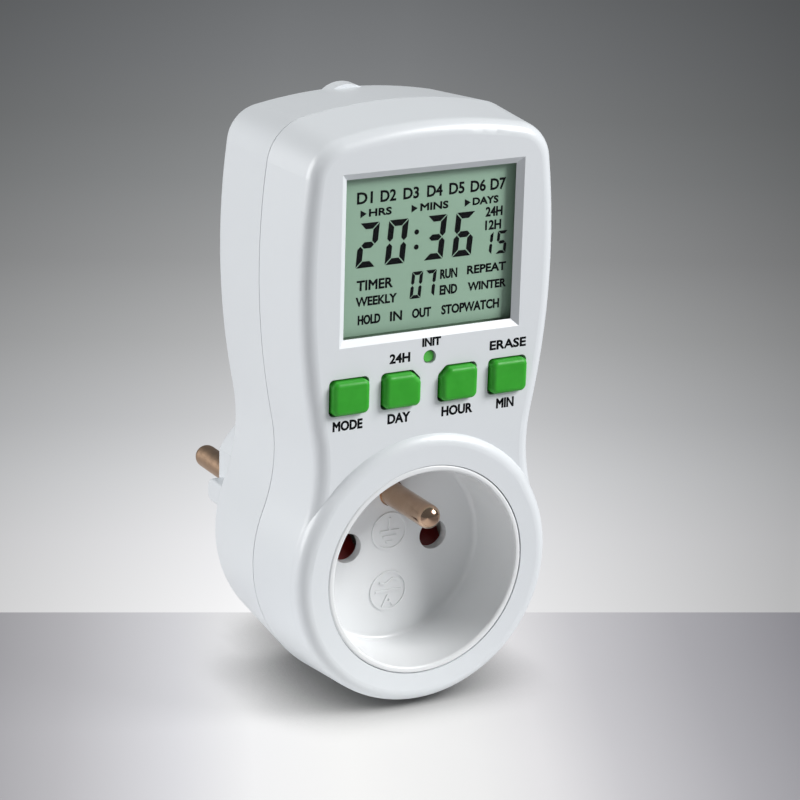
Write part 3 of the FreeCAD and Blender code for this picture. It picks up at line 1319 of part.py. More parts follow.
def make_axial(name, radius, length, x, z):
    """A body lying along Z on the board, with its wire bent down at both ends."""
    middle = "power_front + (%s) + body_clearance" % radius
    reach = "(%s) / 2 + wire_overhang" % length
    parts = [make_rod(name + "_body", radius, length, x, middle, "%s - (%s) / 2" % (z, length), "up"),
             make_rod(name + "_wire", "lead_radius", "2 * (%s)" % reach, x, middle, "%s - (%s)" % (z, reach), "up")]
    spots = [(x, "%s - (%s)" % (z, reach)), (x, "%s + (%s)" % (z, reach))]
    for number, (across, up) in enumerate(spots):
        parts.append(make_rod("%s_leg_%d" % (name, number), "lead_radius",
                              middle + " + lead_radius - power_back + lead_proud",
                              across, "power_back - lead_proud", up))
    return join(name, parts), spots


def make_board_link():
    """The row of square pins between the boards, in a strip at each end."""
    parts = []
    for number, (x, z) in enumerate(link_places()):
        parts.append(make_box("link_pin_%d" % number, x + " - link_pin / 2", x + " + link_pin / 2",
                              "power_back - lead_proud", "control_front + lead_proud",
                              z + " - link_pin / 2", z + " + link_pin / 2"))
    middle = "power_foot + link_rise"
    for name, rear, front in (("rear", "power_front", "power_front + link_pitch"),
                              ("front", "control_back - link_pitch", "control_back")):
        parts.append(make_box("link_strip_" + name, "link_left - link_pitch / 2", "link_left + 5.5 * link_pitch",
                              rear, front, middle + " - link_pitch / 2", middle + " + link_pitch / 2"))
    return join("board_link", parts)


def make_power_parts():
    """The parts on the power board and the places of their legs."""
    relay_low = "power_foot + relay_rise + leg_inset"
    relay_high = "power_foot + relay_rise + relay_length - leg_inset"
    relay_spots = [("relay_left + leg_inset", relay_low), ("relay_left + relay_width - leg_inset", relay_low),
                   ("relay_left + leg_inset", relay_high), ("relay_left + relay_width - leg_inset", relay_high),
                   ("relay_left + relay_width / 2", "power_foot + relay_rise + relay_length / 2")]
    relay = make_block("relay", "relay_left", "relay_width", "relay_rise", "relay_length",
                       "relay_height", relay_spots)
    dropper_line = "power_foot + dropper_rise + dropper_thickness / 2"
    dropper_spots = [("dropper_left + leg_inset", dropper_line),
                     ("dropper_left + dropper_width - leg_inset", dropper_line)]
    dropper = make_block("dropper_capacitor", "dropper_left", "dropper_width", "dropper_rise",
                         "dropper_thickness", "dropper_height", dropper_spots)
    smoother_line = "power_foot + smoother_rise"
    smoother_spots = [("smoother_side - leg_inset", smoother_line), ("smoother_side + leg_inset", smoother_line)]
    varistor_line = "power_foot + varistor_rise"
    varistor_spots = [("varistor_side - varistor_radius / 2", varistor_line),
                      ("varistor_side + varistor_radius / 2", varistor_line)]
    battery_line = "power_foot + battery_rise"
    battery_spots = [("battery_left + battery_cell / 2", battery_line),
                     ("battery_left + 2.5 * battery_cell + 2 * battery_joint", battery_line)]
    parts = [relay, dropper, make_smoother(smoother_spots), make_standing_disc(varistor_spots),
             make_battery(battery_spots)]
    spots = relay_spots + dropper_spots + smoother_spots + varistor_spots + battery_spots
    for label, count, row in (
            ("rectifier_diodes", 4, lambda number: (
                "diode", "diode_left + %d * diode_pitch" % number, "power_foot + diode_rise")),
            ("resistors", 3, lambda number: (
                "resistor", "resistor_side", "power_foot + resistor_rise + %d * resistor_pitch" % number))):
        pieces = []
        for number in range(count):
            kind, x, z = row(number)
            piece, places = make_axial("%s_%d" % (kind, number), kind + "_radius", kind + "_length", x, z)
            pieces.append(piece)
            spots += places
        parts.append(group(label, pieces))
    return parts, spots


def make_screws(label, spots, seat, tip, to_front=True):
    """Pan-headed screws: seat is where the head's flat side lies."""
    screws = []
    for number, (x, z) in enumerate(spots):
        rear = seat if to_front else tip
        head_rear = "(%s) - screw_head" % seat if to_front else seat
        length = "abs((%s) - (%s))" % (tip, seat)
        shank = make_rod("%s_shank_%d" % (label, number), "screw_shank", length, x, rear, z)
        head = make_rod("%s_head_%d" % (label, number), "screw_head_radius", "screw_head", x, head_rear, z)
        screws.append(join("%s_%d" % (label, number), [shank, head]))
    return screws


def make_fasteners():
    housing = make_screws("housing_screw", [(x, z) for x, z, radius in housing_screw_places()],
                          "plug_length + head_well_depth", "boss_meeting + screw_bite")
    boards = make_screws("control_screw", control_post_places(), "control_back", "control_front + screw_bite")
    boards += make_screws("power_screw", power_post_places(), "power_front",
                          "plug_length + rear_skin + core_spare", to_front=False)
    cup = make_screws("cup_screw", cup_screw_places(), "cup_back", "cup_back + ear_thickness + screw_bite")
    base = make_screws("base_screw", [("0", "-base_screw_drop")], "base_rear + base_thickness",
                       "rear_skin + core_spare", to_front=False)
    return [group("housing_screws", housing), group("board_screws", boards), group("cup_screws", cup),
            group("plug_base_screw", base)]


def main():
    fill_sheet()
    parts = [make_front_shell(), make_rear_shell(), make_socket_cup()]
    earth_tail = "cup_back - pin_flange - guide_back + fit_gap + metal + rivet_proud"
    parts.append(make_pin("earth_pin", "earth_pin_length", "cup_floor", earth_tail,
                          "0", "floor_forward", "earth_height", True))
    for label, x in (("left_plug_pin", "-pole_side"), ("right_plug_pin", "pole_side")):
        parts.append(make_pin(label, "plug_pin_length", "plug_end_wall", "pin_tail", x, "0", "0", False))
    parts += [make_plug_base(), make_earth_clips(), make_earth_socket()] + make_straps()
    parts += [make_shutter(), make_shutter_cover(), make_shutter_spring()]
    parts += [make_contact("switched_contact", "-pole_side"), make_contact("neutral_contact", "pole_side")]
    parts += [make_key(label, x, cut) for label, x, cut in KEYS]
    parts += [make_reset_key(), make_keypad_mat()]
    parts += make_display() + make_control_board()
    power_parts, spots = make_power_parts()
    for x in ("-live_side", "-switched_side", "pole_side"):
        spots += strap_pins(x)
    parts += [make_power_board(spots)] + power_parts
    parts += [make_board_link()] + make_fasteners()
    doc.recompute()
    check_and_write(parts)


def check_and_write(parts):
    """Stop if anything failed, then write one file for each sub-part."""
    for thing in doc.Objects:
        if {"Invalid", "Error"} & set(thing.State):
            raise RuntimeError("%s failed: %s" % (thing.Name, thing.State))
        if thing.TypeId in SOLID_CUTS and thing.BaseFeature is not None:
            if thing.Shape.Volume > thing.BaseFeature.Shape.Volume - 1e-3:
                raise RuntimeError("%s cuts nothing" % thing.Name)
    os.makedirs("parts", exist_ok=True)
    for part in parts:
        shape = part.Shape
        if shape.isNull() or not shape.isValid() or not shape.Solids:
            raise RuntimeError("%s has no valid solid" % part.Label)
        print("%-22s %2d solids %10.2f mm3" % (part.Label, len(shape.Solids), shape.Volume))
        shape.exportStep("parts/%s.step" % part.Label)


main()
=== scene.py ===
"""Dress the plug-in timer: finishes, display, labels, marks, mat, spring and the stage."""

import math

import bmesh
import bpy
from mathutils import Matrix, Vector


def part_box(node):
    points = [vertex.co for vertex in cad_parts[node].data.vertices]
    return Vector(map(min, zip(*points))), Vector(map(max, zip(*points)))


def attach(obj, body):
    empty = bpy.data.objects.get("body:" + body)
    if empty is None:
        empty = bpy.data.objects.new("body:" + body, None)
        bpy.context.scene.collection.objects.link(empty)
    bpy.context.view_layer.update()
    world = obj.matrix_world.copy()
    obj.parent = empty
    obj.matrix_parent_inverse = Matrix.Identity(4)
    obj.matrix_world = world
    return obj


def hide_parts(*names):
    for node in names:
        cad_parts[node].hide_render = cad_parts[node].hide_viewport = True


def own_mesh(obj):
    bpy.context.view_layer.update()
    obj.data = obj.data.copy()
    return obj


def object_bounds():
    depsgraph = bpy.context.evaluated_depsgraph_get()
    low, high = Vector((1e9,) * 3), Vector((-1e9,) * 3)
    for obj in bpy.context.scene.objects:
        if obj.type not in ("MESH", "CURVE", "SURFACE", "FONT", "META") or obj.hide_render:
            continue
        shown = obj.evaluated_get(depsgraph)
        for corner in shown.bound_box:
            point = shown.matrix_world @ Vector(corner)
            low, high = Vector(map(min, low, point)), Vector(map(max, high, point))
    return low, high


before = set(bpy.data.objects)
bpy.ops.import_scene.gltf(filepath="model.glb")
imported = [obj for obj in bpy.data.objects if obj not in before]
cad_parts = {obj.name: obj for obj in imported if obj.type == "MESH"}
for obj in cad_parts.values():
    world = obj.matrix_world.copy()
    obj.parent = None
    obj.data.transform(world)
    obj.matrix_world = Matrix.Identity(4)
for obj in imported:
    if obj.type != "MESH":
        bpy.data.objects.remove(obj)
packed_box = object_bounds()

bl_info = {
    "name": "Plug-in timer",
    "version": (1, 0, 0),
    "blender": (4, 5, 0),
    "location": "3D View > Sidebar > Timer",
    "description": "Finishes, display, labels, marks and stage of a plug-in timer",
    "category": "Object",
}

MM = 0.001

# Sizes in mm, and places forward of the plug's end face

FRONT_SHELL_FACE = 59.8
CUP_FLOOR = 46.6
PRINT_HEIGHT = 0.02
MARK_HEIGHT = 0.22
MAT_THICKNESS = 0.9
MAT_CORNER = 1.0
KEY_DOME = (2.9, 1.6)
RESET_DOME = (1.0, 0.9)

# Rows of digits: low edge, width, height, bar width and each digit's left edge, in mm

CLOCK_ROW = (60.5, 4.15, 8.5, 1.2, (-14.95, -8.85, -0.65, 5.45))
SECONDS_ROW = (60.15, 2.2, 4.45, 0.62, (11.85, 14.95))
PROGRAM_ROW = (53.35, 2.35, 5.2, 0.68, (-3.35, -0.45))

# Words: text and the left, right, low and high edges that it fills, in mm

DAY_CENTRES = (-13.3, -8.4, -3.6, 1.4, 6.1, 10.7, 15.0)
DAY_HALF = 1.65
DISPLAY_WORDS = (
    ("HRS", -12.4, -7.6, 70.1, 71.6),
    ("MINS", -1.6, 4.4, 70.1, 71.6),
    ("DAYS", 9.6, 15.2, 70.1, 71.6),
    ("24H", 12.5, 16.2, 67.6, 69.5),
    ("12H", 12.5, 16.0, 65.0, 66.9),
    ("TIMER", -14.6, -7.0, 56.1, 58.1),
    ("WEEKLY", -14.7, -6.1, 53.1, 54.9),
    ("RUN", 3.1, 6.8, 56.5, 58.4),
    ("END", 3.1, 6.9, 53.4, 55.3),
    ("REPEAT", 8.9, 17.4, 56.8, 58.5),
    ("WINTER", 9.2, 17.5, 53.5, 55.2),
    ("HOLD", -14.2, -9.4, 49.5, 51.4),
    ("IN", -7.4, -4.8, 49.5, 51.4),
    ("OUT", -2.7, 1.4, 49.5, 51.4),
    ("STOPWATCH", 3.6, 16.2, 49.5, 51.4),
)
LABEL_WORDS = (
    ("MODE", -20.3, -14.0, 30.2, 32.2),
    ("DAY", -8.7, -3.9, 30.2, 32.2),
    ("HOUR", 2.9, 9.6, 30.2, 32.2),
    ("MIN", 14.9, 18.8, 30.2, 32.2),
    ("24H", -8.6, -4.2, 42.0, 43.9),
    ("INIT", -1.7, 2.3, 44.5, 46.2),
    ("ERASE", 13.0, 21.0, 42.0, 43.9),
)


# Small tools

def linear(text):
    """A colour written as sRGB hex, in the linear values that the nodes take."""
    channels = []
    for start in (1, 3, 5):
        share = int(text[start:start + 2], 16) / 255
        if share <= 0.04045:
            channels.append(share / 12.92)
        else:
            channels.append(((share + 0.055) / 1.055) ** 2.4)
    return (*channels, 1.0)


def per_metre(size_mm):
    """The scale of a pattern in metres whose features are size_mm across."""
    return 1000 / size_mm


def add(tree, kind, inputs=None, stops=None, **settings):
    """Add a node, and set its settings, its colour stops and its inputs, by value or by link."""
    node = tree.nodes.new(kind)
    for name, setting in settings.items():
        setattr(node, name, setting)
    if stops:
        for number, (position, colour) in enumerate(stops):
            if number < 2:
                stop = node.color_ramp.elements[number]
                stop.position = position
            else:
                stop = node.color_ramp.elements.new(position)
            stop.color = colour
    for name, given in (inputs or {}).items():
        if isinstance(given, bpy.types.NodeSocket):
            tree.links.new(given, node.inputs[name])
        else:
            node.inputs[name].default_value = given
    return node


def new_finish(name, colour, roughness, metallic=0.0, ior=None):
    """A plain finish: its material, node tree and shader, and the place on the piece in metres."""
    material = bpy.data.materials.new(name)
    material.use_nodes = True
    tree = material.node_tree
    shader = tree.nodes["Principled BSDF"]
    shader.inputs["Base Color"].default_value = linear(colour)
    shader.inputs["Roughness"].default_value = roughness
    shader.inputs["Metallic"].default_value = metallic
    if ior:
        shader.inputs["IOR"].default_value = ior
    material.diffuse_color = linear(colour)
    place = add(tree, "ShaderNodeTexCoord").outputs["Object"]
    return material, tree, shader, place


def vary_roughness(tree, shader, place, size_mm, low, high, stretch=(1, 1, 1)):
    """Let the gloss drift between two values over patches of the given size."""
    stretched = add(tree, "ShaderNodeMapping", {"Vector": place, "Scale": stretch})
    noise = add(tree, "ShaderNodeTexNoise", {
        "Vector": stretched.outputs["Vector"], "Scale": per_metre(size_mm), "Detail": 3.0})
    spread = add(tree, "ShaderNodeMapRange", {
        "Value": noise.outputs["Fac"], "From Min": 0.35, "From Max": 0.65,
        "To Min": low, "To Max": high})
    tree.links.new(spread.outputs["Result"], shader.inputs["Roughness"])


def tint(tree, shader, place, size_mm, colours, detail=2.0):
    """Let the colour drift between two close tones over patches of the given size."""
    noise = add(tree, "ShaderNodeTexNoise", {
        "Vector": place, "Scale": per_metre(size_mm), "Detail": detail})
    ramp = add(tree, "ShaderNodeValToRGB", {"Fac": noise.outputs["Fac"]}, stops=[
        (0.35, linear(colours[0])), (0.65, linear(colours[1]))])
    tree.links.new(ramp.outputs["Color"], shader.inputs["Base Color"])


def grain(tree, shader, place, size_mm, height_mm):
    """Raise a fine grain on the surface."""
    noise = add(tree, "ShaderNodeTexNoise", {
        "Vector": place, "Scale": per_metre(size_mm), "Detail": 2.0})
    bump = add(tree, "ShaderNodeBump", {
        "Strength": 1.0, "Distance": height_mm * MM, "Height": noise.outputs["Fac"]})
    tree.links.new(bump.outputs["Normal"], shader.inputs["Normal"])


def seen_rays(tree):
    """One for a ray that shows the backdrop: to the camera, off a gloss or through a clear piece."""
    path = add(tree, "ShaderNodeLightPath")
    mirrored = add(tree, "ShaderNodeMath", {
        0: path.outputs["Is Camera Ray"], 1: path.outputs["Is Glossy Ray"]}, operation="MAXIMUM")
    seen = add(tree, "ShaderNodeMath", {
        0: mirrored.outputs[0], 1: path.outputs["Is Transmission Ray"]}, operation="MAXIMUM")
    return seen.outputs[0]


# Finishes

def moulded_plastic(name, colours, roughness, grain_mm, grain_height):
    """Injection moulded plastic: an even colour, flow marks in its gloss and the die's fine grain."""
    material, tree, shader, place = new_finish(name, colours[0], roughness, ior=1.53)
    tint(tree, shader, place, 60, colours, detail=0.0)
    vary_roughness(tree, shader, place, 25, roughness - 0.01, roughness + 0.01)
    # the die's grain is near 0.05 mm and is drawn coarser so that it shows
    grain(tree, shader, place, grain_mm, grain_height)
    return material


def turned_nickel(name, colours, roughness, ring_mm):
    """Nickel plate over turned brass: a warm metal with the lathe's rings across it."""
    material, tree, shader, place = new_finish(name, colours[0], roughness, metallic=1.0)
    tint(tree, shader, place, 4, colours)
    vary_roughness(tree, shader, place, 1.2, roughness - 0.05, roughness + 0.05)
    # at a scale of one, the wave texture has this many waves in a metre
    own_waves = 20 / (2 * math.pi)
    # the rings are near 0.1 mm apart and are drawn coarser so that they show
    rings = add(tree, "ShaderNodeTexWave", {
        "Vector": place, "Scale": per_metre(ring_mm) / own_waves, "Distortion": 0.6, "Detail": 2.0},
        wave_type="BANDS", bands_direction="Y")
    bump = add(tree, "ShaderNodeBump", {
        "Strength": 0.6, "Distance": 0.004 * MM, "Height": rings.outputs["Fac"]})
    tree.links.new(bump.outputs["Normal"], shader.inputs["Normal"])
    return material


def stamped_sheet(name, colours, roughness):
    """Sheet metal, rolled and stamped: a soft shine drawn out along the strip, over a fine grain."""
    material, tree, shader, place = new_finish(name, colours[0], roughness, metallic=1.0)
    tint(tree, shader, place, 2.5, colours)
    vary_roughness(tree, shader, place, 0.4, roughness - 0.08, roughness + 0.1, stretch=(1, 0.08, 1))
    grain(tree, shader, place, 0.3, 0.004)
    return material


def drawn_steel(name, colours, roughness):
    """Drawn steel, bare or thinly plated: a cool metal whose skin clouds its gloss."""
    material, tree, shader, place = new_finish(name, colours[0], roughness, metallic=1.0)
    tint(tree, shader, place, 1.2, colours)
    vary_roughness(tree, shader, place, 0.6, roughness - 0.08, roughness + 0.12)
    grain(tree, shader, place, 0.25, 0.003)
    return material


def moulded_silicone(name, colours, roughness, depth_mm):
    """Silicone rubber, moulded: light enters it, so its colour is soft and its edges glow a little."""
    material, tree, shader, place = new_finish(name, colours[0], roughness, ior=1.41)
    tint(tree, shader, place, 3, colours)
    # green light goes furthest into the keys' rubber
    shader.inputs["Subsurface Weight"].default_value = 0.35
    shader.inputs["Subsurface Radius"].default_value = (0.35, 1.0, 0.3)
    shader.inputs["Subsurface Scale"].default_value = depth_mm * MM
    vary_roughness(tree, shader, place, 1.5, roughness - 0.05, roughness + 0.08)
    grain(tree, shader, place, 0.25, 0.006)
    return material


def clear_acrylic(name, colour):
    """Clear acrylic, moulded thin: what lies behind it shows through a gloss that grows with slant."""
    acrylic_ior = 1.49
    polish = 0.03
    material, tree, shader, _ = new_finish(name, colour, polish, ior=acrylic_ior)
    # the shader only says that the plate is clear, and the mix below is what shows
    shader.inputs["Transmission Weight"].default_value = 1.0
    clear = add(tree, "ShaderNodeBsdfTransparent", {"Color": linear(colour)})
    gloss = add(tree, "ShaderNodeBsdfGlossy", {"Color": linear("#909090"), "Roughness": polish})
    # a ray that leaves the plate meets the same mirror as one that enters it
    side = add(tree, "ShaderNodeNewGeometry")
    index = add(tree, "ShaderNodeMapRange", {
        "Value": side.outputs["Backfacing"], "From Min": 0.0, "From Max": 1.0,
        "To Min": acrylic_ior, "To Max": 1 / acrylic_ior})
    slant = add(tree, "ShaderNodeFresnel", {"IOR": index.outputs["Result"]})
    either = add(tree, "ShaderNodeMixShader", {
        0: slant.outputs["Fac"], 1: clear.outputs["BSDF"], 2: gloss.outputs["BSDF"]})
    tree.links.new(either.outputs["Shader"], tree.nodes["Material Output"].inputs["Surface"])
    return material


def polarised_cell(name, colours, edge_shade_colour, low, high):
    """A reflective display cell under its polariser: grey green, with painted shade near its edges
    where the bezel's shadow falls.
    """
    material, tree, shader, place = new_finish(name, colours[1], 0.34, ior=1.5)
    # painted shade: the cell's tone darkens over this width towards its edges, standing in for the
    # bezel's shadow
    edge_shade_width = 3 * MM
    middle = [(a + b) / 2 for a, b in zip(low, high)]
    half = [(b - a) / 2 for a, b in zip(low, high)]
    split = add(tree, "ShaderNodeSeparateXYZ", {"Vector": place})
    reaches = []
    for axis, letter in ((0, "X"), (2, "Z")):
        offset = add(tree, "ShaderNodeMath", {
            0: split.outputs[letter], 1: middle[axis]}, operation="SUBTRACT")
        size = add(tree, "ShaderNodeMath", {0: offset.outputs[0]}, operation="ABSOLUTE")
        in_edge_shade = add(tree, "ShaderNodeMapRange", {
            "Value": size.outputs[0], "From Min": half[axis] - edge_shade_width, "From Max": half[axis],
            "To Min": 0.0, "To Max": 1.0}, interpolation_type="SMOOTHSTEP")
        reaches.append(in_edge_shade.outputs["Result"])
    either = add(tree, "ShaderNodeMath", {0: reaches[0], 1: reaches[1]}, operation="MAXIMUM")
    cloud = add(tree, "ShaderNodeTexNoise", {"Vector": place, "Scale": per_metre(25), "Detail": 1.0})
    tones = add(tree, "ShaderNodeValToRGB", {"Fac": cloud.outputs["Fac"]}, stops=[
        (0.35, linear(colours[0])), (0.65, linear(colours[1]))])
    shaded = add(tree, "ShaderNodeMix", {
        0: either.outputs[0], 6: tones.outputs["Color"], 7: linear(edge_shade_colour)}, data_type="RGBA")
    tree.links.new(shaded.outputs[2], shader.inputs["Base Color"])
    # the reflector behind the cell has a foil's grit of about 0.15 mm
    grain(tree, shader, place, 0.15, 0.002)
    return material


def printed_ink(name, colour, roughness):
    """Pad-printed ink: a thin even film with a slightly broken gloss."""
    material, tree, shader, place = new_finish(name, colour, roughness)
    shader.inputs["Specular IOR Level"].default_value = 0.06
    vary_roughness(tree, shader, place, 0.5, roughness - 0.1, roughness + 0.1)
    return material


def laminate_board(name, colours):
    """Glass-cloth laminate under solder resist: green lacquer with the weave just showing."""
    material, tree, shader, place = new_finish(name, colours[0], 0.35, ior=1.55)
    tint(tree, shader, place, 6, colours)
    # the cloth's threads lie this far apart
    thread_mm = 0.5
    weave = add(tree, "ShaderNodeTexBrick", {
        "Vector": place, "Scale": per_metre(1.0), "Mortar Size": 0.1,
        "Brick Width": thread_mm, "Row Height": thread_mm})
    bump = add(tree, "ShaderNodeBump", {
        "Strength": 0.5, "Distance": 0.006 * MM, "Height": weave.outputs["Fac"]})
    tree.links.new(bump.outputs["Normal"], shader.inputs["Normal"])
    return material


def cast_case(name, colours, roughness):
    """A small part's moulded or dipped case: an even resin skin with slight hollows."""
    material, tree, shader, place = new_finish(name, colours[0], roughness, ior=1.55)
    tint(tree, shader, place, 3, colours)
    vary_roughness(tree, shader, place, 2, roughness - 0.06, roughness + 0.08)
    grain(tree, shader, place, 0.8, 0.01)
    return material


def studio_paper(name):
    """Seamless studio paper: matt, with a faint tooth, and painted light on it: a painted pool of
    light under the object, a painted shadow close under it and a painted fall-off to grey behind it.
    """
    material, tree, shader, place = new_finish(name, "#E6E8EA", 0.75)
    split = add(tree, "ShaderNodeSeparateXYZ", {"Vector": place})

    # a painted pool of light: before the line the paper is palest a little left of the line's middle,
    # and greys to both sides
    half_width = 0.09
    across = add(tree, "ShaderNodeMapRange", {
        "Value": split.outputs["X"], "From Min": -half_width, "From Max": half_width,
        "To Min": 0.0, "To Max": 1.0})
    paper = add(tree, "ShaderNodeValToRGB", {"Fac": across.outputs["Result"]}, stops=[
        (0.0, linear("#9C9B9F")), (1.0, linear("#838288")), (0.12, linear("#BBBABE")),
        (0.24, linear("#DCDCE0")), (0.32, linear("#F2F2F3")), (0.42, linear("#F6F6F5")),
        (0.55, linear("#EDEDED")), (0.62, linear("#E3E2E4")), (0.7, linear("#C9C8CC")),
        (0.82, linear("#ABAAAF"))])
    tree.links.new(paper.outputs["Color"], shader.inputs["Base Color"])
    grain(tree, shader, place, 0.6, 0.004)

    # painted shadow: the paper's tone is darkened where the object is close by, so that most of the
    # shade lies close under the object
    occlusion_for_painted_shadow = add(tree, "ShaderNodeAmbientOcclusion", {"Distance": 0.018}, samples=16)
    shade = add(tree, "ShaderNodeMapRange", {
        "Value": occlusion_for_painted_shadow.outputs["AO"], "From Min": 0.2, "From Max": 0.85,
        "To Min": 0.02, "To Max": 1.0})
    shaded = add(tree, "ShaderNodeMix", {
        0: 1.0, 6: paper.outputs["Color"], 7: shade.outputs["Result"]},
        data_type="RGBA", blend_type="MULTIPLY")
    # the paper's painted pool of light and painted shadow glow as a light of their own
    painted_paper_glow = add(tree, "ShaderNodeEmission", {"Color": shaded.outputs[2], "Strength": 1.0})

    # painted fall-off of light: the backdrop glows from near white at the line to dark grey well
    # behind it
    fade_depth = 0.7
    depth = add(tree, "ShaderNodeMapRange", {
        "Value": split.outputs["Y"], "From Min": 0.0, "From Max": fade_depth,
        "To Min": 0.0, "To Max": 1.0})
    painted_falloff = add(tree, "ShaderNodeValToRGB", {"Fac": depth.outputs["Result"]}, stops=[
        (0.0, linear("#FCFCFD")), (1.0, linear("#6F7173")), (0.06, linear("#F3F3F5")),
        (0.12, linear("#E4E5E7")), (0.183, linear("#D0D1D3")), (0.281, linear("#B8B9BA")),
        (0.398, linear("#A0A1A2")), (0.54, linear("#8E9091")), (0.665, linear("#828485")),
        (0.81, linear("#797B7D"))])

    # the pool of light on it is a wedge, which opens backwards from a point before the object
    wedge_back = 0.6015
    wedge_side = 0.0477
    wedge_middle = 0.0562
    distance = add(tree, "ShaderNodeMath", {0: split.outputs["Y"], 1: wedge_back}, operation="ADD")
    offset = add(tree, "ShaderNodeMath", {0: split.outputs["X"], 1: wedge_side}, operation="ADD")
    slope = add(tree, "ShaderNodeMath", {
        0: offset.outputs[0], 1: distance.outputs[0]}, operation="DIVIDE")
    aside = add(tree, "ShaderNodeMath", {0: slope.outputs[0], 1: wedge_middle}, operation="SUBTRACT")
    away = add(tree, "ShaderNodeMath", {0: aside.outputs[0]}, operation="ABSOLUTE")
    sides = add(tree, "ShaderNodeMapRange", {
        "Value": away.outputs[0], "From Min": 0.02, "From Max": 0.16, "To Min": 1.0, "To Max": 0.5})
    glow = add(tree, "ShaderNodeMix", {
        0: 1.0, 6: painted_falloff.outputs["Color"], 7: sides.outputs["Result"]},
        data_type="RGBA", blend_type="MULTIPLY")
    emission = add(tree, "ShaderNodeEmission", {"Color": glow.outputs[2], "Strength": 1.0})

    # to the camera, a gloss or a clear piece the floor shows mostly its painted tone with its painted
    # shadow, and for the rest what the lamps and their shadow make of it
    seen = seen_rays(tree)
    painted_share = 0.8
    behind = add(tree, "ShaderNodeMath", {0: split.outputs["Y"], 1: 0.0}, operation="GREATER_THAN")
    both = add(tree, "ShaderNodeMath", {0: seen, 1: behind.outputs[0]}, operation="MULTIPLY")
    partly = add(tree, "ShaderNodeMath", {0: seen, 1: painted_share}, operation="MULTIPLY")
    ground = add(tree, "ShaderNodeMixShader", {
        0: partly.outputs[0], 1: shader.outputs["BSDF"], 2: painted_paper_glow.outputs["Emission"]})
    mixed = add(tree, "ShaderNodeMixShader", {
        0: both.outputs[0], 1: ground.outputs["Shader"], 2: emission.outputs["Emission"]})
    tree.links.new(mixed.outputs["Shader"], tree.nodes["Material Output"].inputs["Surface"])
    return material


# Building

def dress(material, *nodes):
    """Give CAD nodes a finish."""
    for name in nodes:
        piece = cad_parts[name]
        for held in piece.material_slots:
            held.material = material


def make_piece(name, form, material, body):
    """Turn a bmesh into a piece with a finish that rides on a body."""
    bmesh.ops.recalc_face_normals(form, faces=form.faces)
    mesh = bpy.data.meshes.new(name)
    form.to_mesh(mesh)
    form.free()
    mesh.materials.append(material)
    piece = bpy.data.objects.new(name, mesh)
    bpy.context.scene.collection.objects.link(piece)
    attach(piece, body)
    return piece


def outline(form, corners, forward):
    """The vertices of an outline seen from the front: corners in mm, at a place forward in mm."""
    return [form.verts.new((x * MM, -forward * MM, z * MM)) for x, z in corners]


def bridge(form, lower, upper):
    """The faces between two outlines with as many corners each."""
    for number in range(len(lower)):
        after = (number + 1) % len(lower)
        form.faces.new((lower[number], lower[after], upper[after], upper[number]))


def circle(x, z, radius, steps):
    """The corners of a circle seen from the front."""
    turns = [2 * math.pi * step / steps for step in range(steps)]
    return [(x + radius * math.cos(turn), z + radius * math.sin(turn)) for turn in turns]


def add_plate(form, corners, forward, thickness):
    """A flat plate seen from the front."""
    low = outline(form, corners, forward)
    high = outline(form, corners, forward + thickness)
    form.faces.new(low)
    form.faces.new(high)
    bridge(form, low, high)


def add_bar(form, left, right, low, high, forward, thickness):
    """A straight bar seen from the front."""
    add_plate(form, [(left, low), (right, low), (right, high), (left, high)], forward, thickness)


def add_ring(form, x, z, radius, width, forward, thickness, steps=56):
    """A flat ring seen from the front."""
    outer = circle(x, z, radius, steps)
    inner = circle(x, z, radius - width, steps)
    rings = [outline(form, outer, forward), outline(form, outer, forward + thickness),
             outline(form, inner, forward + thickness), outline(form, inner, forward)]
    for number, ring in enumerate(rings):
        bridge(form, ring, rings[(number + 1) % len(rings)])


def add_dome(form, x, z, foot, crown, forward, height, steps=40):
    """A mat's dome seen from the front: a skirt that narrows to a flat top with a rounded edge."""
    # each ring is a share of the way from the foot's radius to the crown's, and a share of the height
    profile = ((0.0, 0.0), (0.12, 0.06), (0.8, 0.82), (1.0, 0.94), (1.18, 1.0))
    rings = []
    for inwards, share in profile:
        radius = foot + (crown - foot) * inwards
        rings.append(outline(form, circle(x, z, radius, steps), forward + height * share))
    for lower, upper in zip(rings, rings[1:]):
        bridge(form, lower, upper)
    form.faces.new(rings[0])
    form.faces.new(rings[-1])


def thicken(flat, weight):
    """Move the outline of a flat shape outwards in its own plane."""
    sharpest = 0.45
    sides = {}
    for edge in flat.edges:
        if edge.is_boundary:
            loop = edge.link_loops[0]
            run = loop.link_loop_next.vert.co - loop.vert.co
            side = Vector((run.y, -run.x, 0.0)).normalized()
            if loop.face.normal.z < 0:
                side.negate()
            for vertex in edge.verts:
                sides.setdefault(vertex, []).append(side)
    for vertex, pair in sides.items():
        total = sum(pair, Vector())
        # the cap keeps a sharp corner's move to little more than twice the weight
        vertex.co += total * weight / max(1 + pair[0].dot(pair[-1]), sharpest)


def flat_word(text):
    """A word of Blender's own font as a flat shape, with a line of text one unit high."""
    curve = bpy.data.curves.new("word", "FONT")
    curve.body = text
    curve.resolution_u = 3
    shape = bpy.data.objects.new("word", curve)
    bpy.context.scene.collection.objects.link(shape)
    bpy.context.view_layer.update()
    depsgraph = bpy.context.evaluated_depsgraph_get()
    mesh = bpy.data.meshes.new_from_object(shape.evaluated_get(depsgraph))
    flat = bmesh.new()
    flat.from_mesh(mesh)
    bmesh.ops.remove_doubles(flat, verts=flat.verts, dist=0.0005)
    bpy.data.objects.remove(shape)
    bpy.data.curves.remove(curve)
    bpy.data.meshes.remove(mesh)
    return flat


def spans(flat):
    """The lowest and highest place of a flat shape, across and up."""
    across = [vertex.co.x for vertex in flat.verts]
    up = [vertex.co.y for vertex in flat.verts]
    return min(across), max(across), min(up), max(up)


